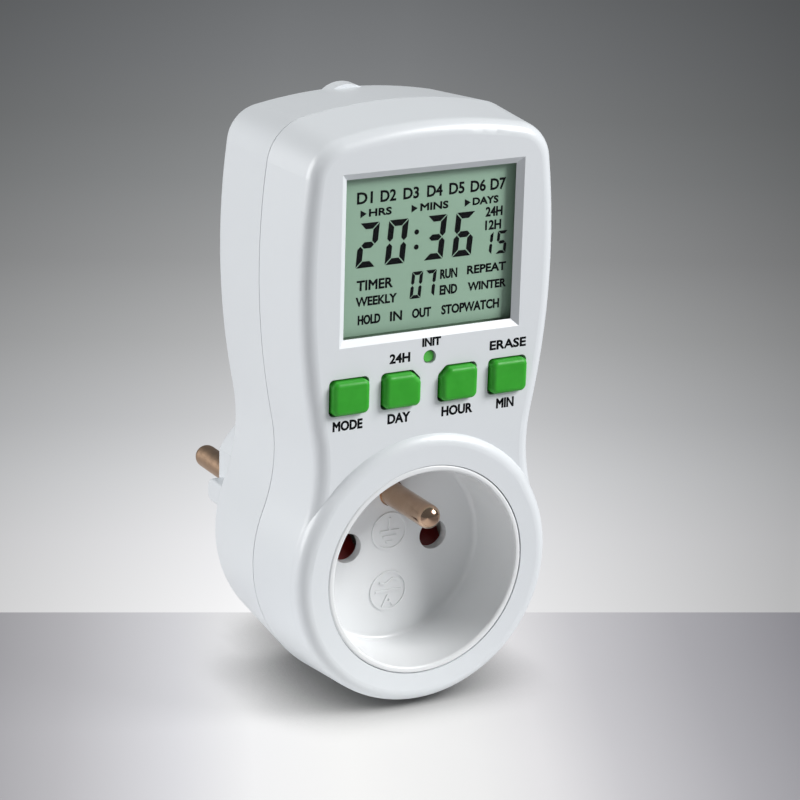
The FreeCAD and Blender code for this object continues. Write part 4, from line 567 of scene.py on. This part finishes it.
def add_raised(form, flat, left, low, forward, thickness):
    """Raise a flat shape to a closed one, with its own origin at a left and low edge in mm."""
    flat.verts.index_update()
    back, front = [
        [form.verts.new(((left + vertex.co.x) * MM, -level * MM, (low + vertex.co.y) * MM))
         for vertex in flat.verts]
        for level in (forward, forward + thickness)]
    for face in flat.faces:
        numbers = [vertex.index for vertex in face.verts]
        form.faces.new([back[number] for number in numbers])
        form.faces.new([front[number] for number in numbers])
    for edge in flat.edges:
        if edge.is_boundary:
            start, end = [vertex.index for vertex in edge.verts]
            form.faces.new((back[start], back[end], front[end], front[start]))


def add_words(form, words, forward, thickness, stroke):
    """Words that each fill a box seen from the front, with strokes near one width, in mm."""
    upright = flat_word("I")
    low_x, high_x, _, _ = spans(upright)
    own_stroke = high_x - low_x
    upright.free()
    for text, left, right, low, high in words:
        flat = flat_word(text)
        low_x, high_x, low_y, high_y = spans(flat)
        share = own_stroke / (high_x - low_x)
        plain_stroke = share * (right - left)
        # part of a narrow word's own thin stroke stays, so that its letters keep apart
        wanted = 0.5 * stroke + 0.8 * plain_stroke
        # the outline moves out by the weight on every side, and the word still fills its box
        weight = (wanted - plain_stroke) / (1 - share) / 2
        wide = (right - left - 2 * weight) / (high_x - low_x)
        tall = (high - low - 2 * weight) / (high_y - low_y)
        for vertex in flat.verts:
            x, y, _ = vertex.co
            vertex.co = ((x - low_x) * wide + weight, (y - low_y) * tall + weight, 0.0)
        flat.normal_update()
        thicken(flat, weight)
        add_raised(form, flat, left, low, forward, thickness)
        flat.free()


DIGITS = {
    "0": "abcdef", "1": "bc", "2": "abged", "3": "abgcd", "4": "fgbc",
    "5": "afgcd", "6": "afgedc", "7": "abc", "8": "abcdefg", "9": "abcdfg",
}


def bar_corners(bar, width, height, bar_width, gap):
    """The corners of a seven-bar digit's bar: a to f clockwise from the top, and g in the middle."""
    middle = height / 2
    half = bar_width / 2
    flat_top = [(gap, height), (width - gap, height), (width - bar_width - gap, height - bar_width),
                (bar_width + gap, height - bar_width)]
    upper_left = [(0, height - gap), (bar_width, height - bar_width - gap),
                  (bar_width, middle + half + gap), (half, middle + gap), (0, middle + half + gap)]
    if bar == "a":
        return flat_top
    if bar == "d":
        return [(x, height - z) for x, z in flat_top]
    if bar == "g":
        inner = bar_width + gap
        return [(half + gap, middle), (inner, middle + half), (width - inner, middle + half),
                (width - half - gap, middle), (width - inner, middle - half), (inner, middle - half)]
    corners = upper_left
    if bar in "bc":
        corners = [(width - x, z) for x, z in corners]
    if bar in "ec":
        corners = [(x, height - z) for x, z in corners]
    return corners


def add_digit(form, digit, left, low, width, height, bar_width, slant, forward):
    """A seven-bar digit that leans to the right."""
    gap = bar_width * 0.12
    for bar in DIGITS[digit]:
        corners = bar_corners(bar, width, height, bar_width, gap)
        add_plate(form, [(left + x + z * slant, low + z) for x, z in corners], forward, PRINT_HEIGHT)


# What a user can change

class TimerHousing(bpy.types.PropertyGroup):
    """The finish of the housing and the line of the socket's marks."""

    light: bpy.props.StringProperty(
        name="Housing, light tone", description="Lighter tone of the moulded housing",
        default="#E4E8EB")
    dark: bpy.props.StringProperty(
        name="Housing, dark tone", description="Darker tone of the moulded housing",
        default="#E2E6E9")
    gloss: bpy.props.FloatProperty(
        name="Roughness", description="Roughness of the housing", default=0.32, min=0.1, max=0.9,
        subtype="FACTOR")
    mark_line: bpy.props.FloatProperty(
        name="Mark line", description="Width of the raised lines in the socket, in mm",
        default=0.45, min=0.2, max=1.0)


class TimerDisplay(bpy.types.PropertyGroup):
    """What the display shows."""

    cell: bpy.props.StringProperty(
        name="Cell", description="Grey green of the display", default="#B0CFBA")
    ink: bpy.props.StringProperty(
        name="Bars", description="Colour of the display's bars and words", default="#0C0E10")
    clock: bpy.props.StringProperty(
        name="Clock", description="Four digits of the clock", default="2036")
    seconds: bpy.props.StringProperty(
        name="Seconds", description="Two digits of the seconds", default="15")
    program: bpy.props.StringProperty(
        name="Program", description="Two digits of the program", default="07")
    slant: bpy.props.FloatProperty(
        name="Slant", description="How far a digit leans to the right for each mm of its height",
        default=0.09)


class TimerKeys(bpy.types.PropertyGroup):
    """The colours of the keys and their labels."""

    light: bpy.props.StringProperty(
        name="Keys, light tone", description="Lighter green of the keys", default="#3BAC31")
    dark: bpy.props.StringProperty(
        name="Keys, dark tone", description="Darker green of the keys", default="#34A42A")
    ink: bpy.props.StringProperty(
        name="Labels", description="Ink of the printed labels", default="#101113")


class TimerStage(bpy.types.PropertyGroup):
    """The floor, the lamps and the camera."""

    floor_reach: bpy.props.FloatProperty(
        name="Floor", description="Half the side of the floor", default=4.0, unit="LENGTH")
    line_place: bpy.props.FloatVectorProperty(
        name="Line", description="A point where the pale floor meets the backdrop", size=2,
        default=(0.0198, -0.0161), unit="LENGTH")
    line_turn: bpy.props.FloatProperty(
        name="Line turn", description="Turn of that line from the object's width",
        default=math.radians(-24.84), unit="ROTATION")
    key_power: bpy.props.FloatProperty(
        name="Main lamp", description="Power of the lamp at the upper right",
        default=15.2, unit="POWER")
    side_power: bpy.props.FloatProperty(
        name="Side lamp", description="Power of the lamp at the left", default=9.2, unit="POWER")
    surround: bpy.props.FloatProperty(
        name="Surround", description="Strength of the light from all round", default=0.15)
    lens: bpy.props.FloatProperty(
        name="Lens", description="Focal length of the camera", default=139.46, unit="CAMERA")
    yaw: bpy.props.FloatProperty(
        name="Yaw", description="Turn of the camera to the right", default=math.radians(29.253),
        unit="ROTATION")
    pitch: bpy.props.FloatProperty(
        name="Pitch", description="Dip of the camera", default=math.radians(17.867), unit="ROTATION")
    roll: bpy.props.FloatProperty(
        name="Roll", description="Roll of the camera", default=math.radians(1.644), unit="ROTATION")
    place: bpy.props.FloatVectorProperty(
        name="Place", description="Where the camera stands", default=(-0.27618, -0.54195, 0.21283),
        unit="LENGTH")


# Pieces

class TIMER_OT_dress_housing(bpy.types.Operator):
    """Finish the two shells and the socket's cup."""

    bl_idname = "timer.dress_housing"
    bl_label = "Housing"

    def execute(self, context):
        look = context.scene.timer_housing
        # ABS from a polished die: a cool white with soft, broad highlights
        shells = moulded_plastic("gloss_moulded_abs", (look.light, look.dark), look.gloss, 0.6, 0.0015)
        dress(shells, "front_shell", "rear_shell")
        # ABS with a crisper gloss, painted a whiter tone than the shells so that the lit inside of the
        # socket shows brighter
        cup = moulded_plastic("satin_moulded_abs", ("#EAECED", "#E8EAEB"), 0.24, 0.6, 0.0015)
        dress(cup, "socket_cup")
        # nylon as it comes: creamy and nearly matt
        insulation = moulded_plastic("plain_moulded_nylon", ("#D9D8D2", "#D1D0CA"), 0.55, 0.4, 0.01)
        dress(insulation, "plug_base", "shutter_cover", "display_holder")
        # coloured acetal: a deep red with a waxy sheen
        guard = moulded_plastic("red_moulded_acetal", ("#7C0503", "#6C0403"), 0.4, 0.5, 0.003)
        dress(guard, "shutter")
        return {"FINISHED"}


class TIMER_OT_dress_metal(bpy.types.Operator):
    """Finish the pins, the contacts, the spring and the screws."""

    bl_idname = "timer.dress_metal"
    bl_label = "Metal parts"

    def execute(self, context):
        nickel = turned_nickel("nickel_plated_turned_brass", ("#C6A992", "#B89A82"), 0.15, 0.592)
        dress(nickel, "earth_pin")
        # the plug's pins are tumbled before plating, so they are duller than the earth pin
        tumbled = turned_nickel("tumbled_nickel_plated_brass", ("#BA9D84", "#AE927A"), 0.45, 0.592)
        dress(tumbled, "left_plug_pin", "right_plug_pin")
        # the strip is plated after it is stamped, so it is paler than the brass
        clips = stamped_sheet("nickel_plated_strip", ("#C4BEB4", "#B3ACA1"), 0.3)
        dress(clips, "earth_clips")
        brass = stamped_sheet("stamped_brass", ("#CDA75A", "#BE974A"), 0.32)
        dress(brass, "earth_socket", "live_link", "switched_link", "neutral_link", "earth_link",
              "switched_contact", "neutral_contact")
        spring = drawn_steel("drawn_spring_steel", ("#A4A5A6", "#8E9091"), 0.3)
        dress(spring, "shutter_spring")
        screws = drawn_steel("zinc_plated_steel", ("#B4B6BA", "#A2A4A9"), 0.32)
        dress(screws, "housing_screws", "board_screws", "cup_screws", "plug_base_screw")
        cans = drawn_steel("drawn_cell_cans", ("#B9B9B5", "#A8A8A4"), 0.28)
        dress(cans, "backup_battery")
        return {"FINISHED"}


class TIMER_OT_dress_keys(bpy.types.Operator):
    """Finish the keys and the mat that springs them."""

    bl_idname = "timer.dress_keys"
    bl_label = "Keys"

    def execute(self, context):
        look = context.scene.timer_keys
        # a key is over a millimetre of soft green rubber
        silicone = moulded_silicone("green_silicone", (look.light, look.dark), 0.42, 1.4)
        dress(silicone, "key_set", "key_day", "key_hour", "key_minute")
        # the reset key lies deep in its hole, where less light falls, so its rubber is painted a
        # lighter green than the keys': a painted brighter copy of the same rubber
        reset = moulded_silicone("green_silicone_painted_lighter", ("#5ABB4F", "#52B148"), 0.45, 1.0)
        dress(reset, "reset_key")
        mat = moulded_silicone("grey_silicone", ("#8D8F8D", "#828482"), 0.5, 0.6)
        dress(mat, "keypad_mat")
        return {"FINISHED"}


class TIMER_OT_dress_inside(bpy.types.Operator):
    """Finish the boards and what they carry."""

    bl_idname = "timer.dress_inside"
    bl_label = "Boards and parts"

    def execute(self, context):
        board = laminate_board("lacquered_glass_laminate", ("#2E6B3A", "#275E33"))
        dress(board, "control_board", "power_board")
        # each finish: its two tones, its roughness and the nodes that have it
        finishes = {
            "black_moulded_epoxy": (
                ("#1C1C1D", "#232324"), 0.5, ["control_chip", "rectifier_diodes", "board_link"]),
            "blue_moulded_case": (("#2A5EA0", "#24538F"), 0.32, ["relay"]),
            "amber_moulded_case": (("#C98A2B", "#BA7D24"), 0.35, ["dropper_capacitor"]),
            "black_shrunk_sleeve": (("#17181C", "#202127"), 0.28, ["smoothing_capacitor"]),
            "blue_dipped_epoxy": (("#2548A0", "#203F90"), 0.3, ["varistor"]),
            "tan_lacquer": (("#BFA67C", "#B3996E"), 0.45, ["resistors"]),
            "grey_layered_elastomer": (("#707274", "#5F6163"), 0.6, ["contact_strips"]),
        }
        for name, (colours, roughness, nodes) in finishes.items():
            dress(cast_case(name, colours, roughness), *nodes)
        return {"FINISHED"}


class TIMER_OT_make_sprung_parts(bpy.types.Operator):
    """Make the mat's sheet and its domes, and a copy of the shutter's spring, in place of their CAD
    nodes.
    """

    bl_idname = "timer.make_sprung_parts"
    bl_label = "Mat and spring"

    def execute(self, context):
        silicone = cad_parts["keypad_mat"].material_slots[0].material
        low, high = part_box("keypad_mat")
        back = -high.y / MM
        left, right = low.x / MM, high.x / MM
        bottom, top = low.z / MM, high.z / MM
        cut = MAT_CORNER
        form = bmesh.new()
        add_plate(form, [
            (left, bottom + cut), (left + cut, bottom), (right - cut, bottom), (right, bottom + cut),
            (right, top - cut), (right - cut, top), (left + cut, top), (left, top - cut),
        ], back, MAT_THICKNESS)
        sheet = make_piece("mat_sheet", form, silicone, "housing")
        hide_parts("keypad_mat")
        face = back + MAT_THICKNESS
        height = -low.y / MM - face
        for key, joint, (foot, crown) in (
                ("key_set", "set_press", KEY_DOME), ("key_day", "day_press", KEY_DOME),
                ("key_hour", "hour_press", KEY_DOME), ("key_minute", "minute_press", KEY_DOME),
                ("reset_key", "reset_press", RESET_DOME)):
            middle = sum(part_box(key), Vector()) / 2 / MM
            form = bmesh.new()
            add_dome(form, middle.x, middle.z, foot, crown, face, height)
            dome = make_piece("dome_under_" + key, form, silicone, "housing")
            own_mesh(dome)

        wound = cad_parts["shutter_spring"]
        steel = wound.material_slots[0].material
        low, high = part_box("shutter_spring")
        form = bmesh.new()
        form.from_mesh(wound.data)
        spring = make_piece("wound_spring", form, steel, "housing")
        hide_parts("shutter_spring")
        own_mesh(spring)
        return {"FINISHED"}


class TIMER_OT_make_display(bpy.types.Operator):
    """Finish the display's lens and cell, and draw its digits and words."""

    bl_idname = "timer.make_display"
    bl_label = "Display"

    def execute(self, context):
        look = context.scene.timer_display
        dress(clear_acrylic("clear_moulded_acrylic", "#FEFFFE"), "display_window")
        # the third colour is painted shade at the cell's edges, where the bezel's shadow falls
        cell = polarised_cell(
            "polarised_display_cell", ("#ACCBB6", look.cell), "#A2C0AB", *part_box("display_window"))
        dress(cell, "display_glass")
        ink = printed_ink("display_bars", look.ink, 0.4)
        front = -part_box("display_glass")[0].y / MM
        form = bmesh.new()
        for digits, (low, width, height, bar_width, lefts) in (
                (look.clock, CLOCK_ROW), (look.seconds, SECONDS_ROW), (look.program, PROGRAM_ROW)):
            for digit, left in zip(digits, lefts):
                add_digit(form, digit, left, low, width, height, bar_width, look.slant, front)
        # the colon's dots, whose middles are too small to see
        for height in (63.3, 66.2):
            add_ring(form, -2.2, height, 0.5, 0.49, front, PRINT_HEIGHT, steps=20)
        # the arrows before the row of units
        for left in (-14.15, -3.45, 7.9):
            add_plate(form, [(left, 70.0), (left + 1.3, 70.75), (left, 71.5)], front, PRINT_HEIGHT)
        days = [("D%d" % (number + 1), centre - DAY_HALF, centre + DAY_HALF, 72.65, 74.9)
                for number, centre in enumerate(DAY_CENTRES)]
        add_words(form, (*days, *DISPLAY_WORDS), front, PRINT_HEIGHT, stroke=0.44)
        make_piece("display_bars", form, ink, "housing")
        return {"FINISHED"}


class TIMER_OT_print_labels(bpy.types.Operator):
    """Print the labels above and below the keys."""

    bl_idname = "timer.print_labels"
    bl_label = "Labels"

    def execute(self, context):
        ink = printed_ink("pad_printed_ink", context.scene.timer_keys.ink, 0.5)
        form = bmesh.new()
        add_words(form, LABEL_WORDS, FRONT_SHELL_FACE, PRINT_HEIGHT, stroke=0.5)
        make_piece("printed_labels", form, ink, "housing")
        return {"FINISHED"}


class TIMER_OT_raise_marks(bpy.types.Operator):
    """Raise the earth sign and, below it, a ring with a wave, a bar and a letter."""

    bl_idname = "timer.raise_marks"
    bl_label = "Socket marks"

    def execute(self, context):
        line = context.scene.timer_housing.mark_line
        half = line / 2
        form = bmesh.new()
        # the earth sign: a ring round an upright that stands on three bars, each shorter than the last
        across, up = -0.3, 3.2
        add_ring(form, across, up, 3.9, line, CUP_FLOOR, MARK_HEIGHT)
        add_bar(form, across - half, across + half, up + 0.2, up + 2.8, CUP_FLOOR, MARK_HEIGHT)
        for level, reach in ((up, 2.1), (up - 1.1, 1.4), (up - 2.2, 0.7)):
            add_bar(form, across - reach, across + reach, level - half, level + half,
                    CUP_FLOOR, MARK_HEIGHT)
        # the lower ring, with one turn of a wave over a bar and a letter under it
        across, up = -0.2, -9.2
        add_ring(form, across, up, 4.1, line, CUP_FLOOR, MARK_HEIGHT)
        add_bar(form, across - 2.9, across + 2.9, up - half, up + half, CUP_FLOOR, MARK_HEIGHT)
        wave = [(across + number * 0.2, up + 1.9 + 0.5 * math.sin(number * math.pi / 10))
                for number in range(-10, 11)]
        add_plate(form, [(x, z + half) for x, z in wave] + [(x, z - half) for x, z in reversed(wave)],
                  CUP_FLOOR, MARK_HEIGHT)
        add_words(form, [("A", -1.6, 1.2, -12.4, -10.0)], CUP_FLOOR, MARK_HEIGHT, stroke=line)
        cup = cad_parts["socket_cup"].material_slots[0].material
        make_piece("socket_marks", form, cup, "housing")
        return {"FINISHED"}


class TIMER_OT_set_stage(bpy.types.Operator):
    """Lay the floor, hang the lamps and place the camera."""

    bl_idname = "timer.set_stage"
    bl_label = "Stage"

    def execute(self, context):
        scene = context.scene
        look = scene.timer_stage
        lowest = packed_box[0].z
        reach = look.floor_reach
        form = bmesh.new()
        form.faces.new([form.verts.new((x, y, 0.0)) for x, y in (
            (-reach, -reach), (reach, -reach), (reach, reach), (-reach, reach))])
        mesh = bpy.data.meshes.new("floor")
        form.to_mesh(mesh)
        form.free()
        floor = bpy.data.objects.new("floor", mesh)
        floor.location = (*look.line_place, lowest)
        floor.rotation_euler = (0.0, 0.0, look.line_turn)
        scene.collection.objects.link(floor)
        mesh.materials.append(studio_paper("studio_paper"))

        world = bpy.data.worlds.new("studio")
        scene.world = world
        world.use_nodes = True
        tree = world.node_tree
        tree.nodes.clear()
        glow = add(tree, "ShaderNodeBackground", {
            "Color": linear("#F4F6F8"), "Strength": look.surround})
        wall = add(tree, "ShaderNodeBackground", {"Color": linear("#6E7276"), "Strength": 1.0})
        either = add(tree, "ShaderNodeMixShader", {
            0: seen_rays(tree), 1: glow.outputs["Background"], 2: wall.outputs["Background"]})
        add(tree, "ShaderNodeOutputWorld", {"Surface": either.outputs["Shader"]})

        # both lamps look at the object's middle
        target = Vector((0.0, -0.04, 0.03))
        for name, spot, side, power in (
                ("main_lamp", (0.75, -0.65, 0.7), 0.5, look.key_power),
                ("side_lamp", (-0.9, 0.35, 0.38), 0.7, look.side_power)):
            lamp = bpy.data.lights.new(name, "AREA")
            lamp.shape = "SQUARE"
            lamp.size = side
            lamp.energy = power
            holder = bpy.data.objects.new(name, lamp)
            holder.location = spot
            holder.rotation_euler = (target - Vector(spot)).to_track_quat("-Z", "Y").to_euler()
            scene.collection.objects.link(holder)

        camera = bpy.data.objects.new("camera", bpy.data.cameras.new("camera"))
        camera.data.lens = look.lens
        camera.data.sensor_width = 36.0
        camera.data.clip_start = 0.01
        camera.data.clip_end = 20.0
        turn = Matrix.Rotation(-look.yaw, 4, "Z") @ Matrix.Rotation(math.pi / 2 - look.pitch, 4, "X")
        placed = Matrix.Translation(Vector(look.place))
        camera.matrix_world = placed @ turn @ Matrix.Rotation(look.roll, 4, "Z")
        scene.collection.objects.link(camera)
        scene.camera = camera
        scene.view_settings.view_transform = "Standard"
        return {"FINISHED"}


class TIMER_PT_panel(bpy.types.Panel):
    """Lists the timer's pieces and its stage."""

    bl_label = "Timer"
    bl_idname = "TIMER_PT_panel"
    bl_space_type = "VIEW_3D"
    bl_region_type = "UI"
    bl_category = "Timer"

    def draw(self, context):
        for operator in OPERATORS:
            self.layout.operator(operator.bl_idname)
        for group in (context.scene.timer_housing, context.scene.timer_display,
                      context.scene.timer_keys, context.scene.timer_stage):
            box = self.layout.box()
            for name in group.__annotations__:
                box.prop(group, name)


GROUPS = (
    ("timer_housing", TimerHousing), ("timer_display", TimerDisplay),
    ("timer_keys", TimerKeys), ("timer_stage", TimerStage),
)
OPERATORS = (
    TIMER_OT_dress_housing, TIMER_OT_dress_metal, TIMER_OT_dress_keys, TIMER_OT_dress_inside,
    TIMER_OT_make_sprung_parts, TIMER_OT_make_display, TIMER_OT_print_labels, TIMER_OT_raise_marks,
    TIMER_OT_set_stage,
)


def register():
    """Make the sizes and colours, the operators and the panel known to Blender."""
    for name, group in GROUPS:
        bpy.utils.register_class(group)
        setattr(bpy.types.Scene, name, bpy.props.PointerProperty(type=group))
    for part in (*OPERATORS, TIMER_PT_panel):
        bpy.utils.register_class(part)


def unregister():
    """Take back what register made known."""
    for part in (TIMER_PT_panel, *reversed(OPERATORS)):
        bpy.utils.unregister_class(part)
    for name, group in GROUPS:
        delattr(bpy.types.Scene, name)
        bpy.utils.unregister_class(group)


def main():
    """Dress the timer."""
    register()
    bpy.ops.timer.dress_housing()
    bpy.ops.timer.dress_metal()
    bpy.ops.timer.dress_keys()
    bpy.ops.timer.dress_inside()
    bpy.ops.timer.make_sprung_parts()
    bpy.ops.timer.make_display()
    bpy.ops.timer.print_labels()
    bpy.ops.timer.raise_marks()
    bpy.ops.timer.set_stage()


if __name__ == "__main__":
    main()
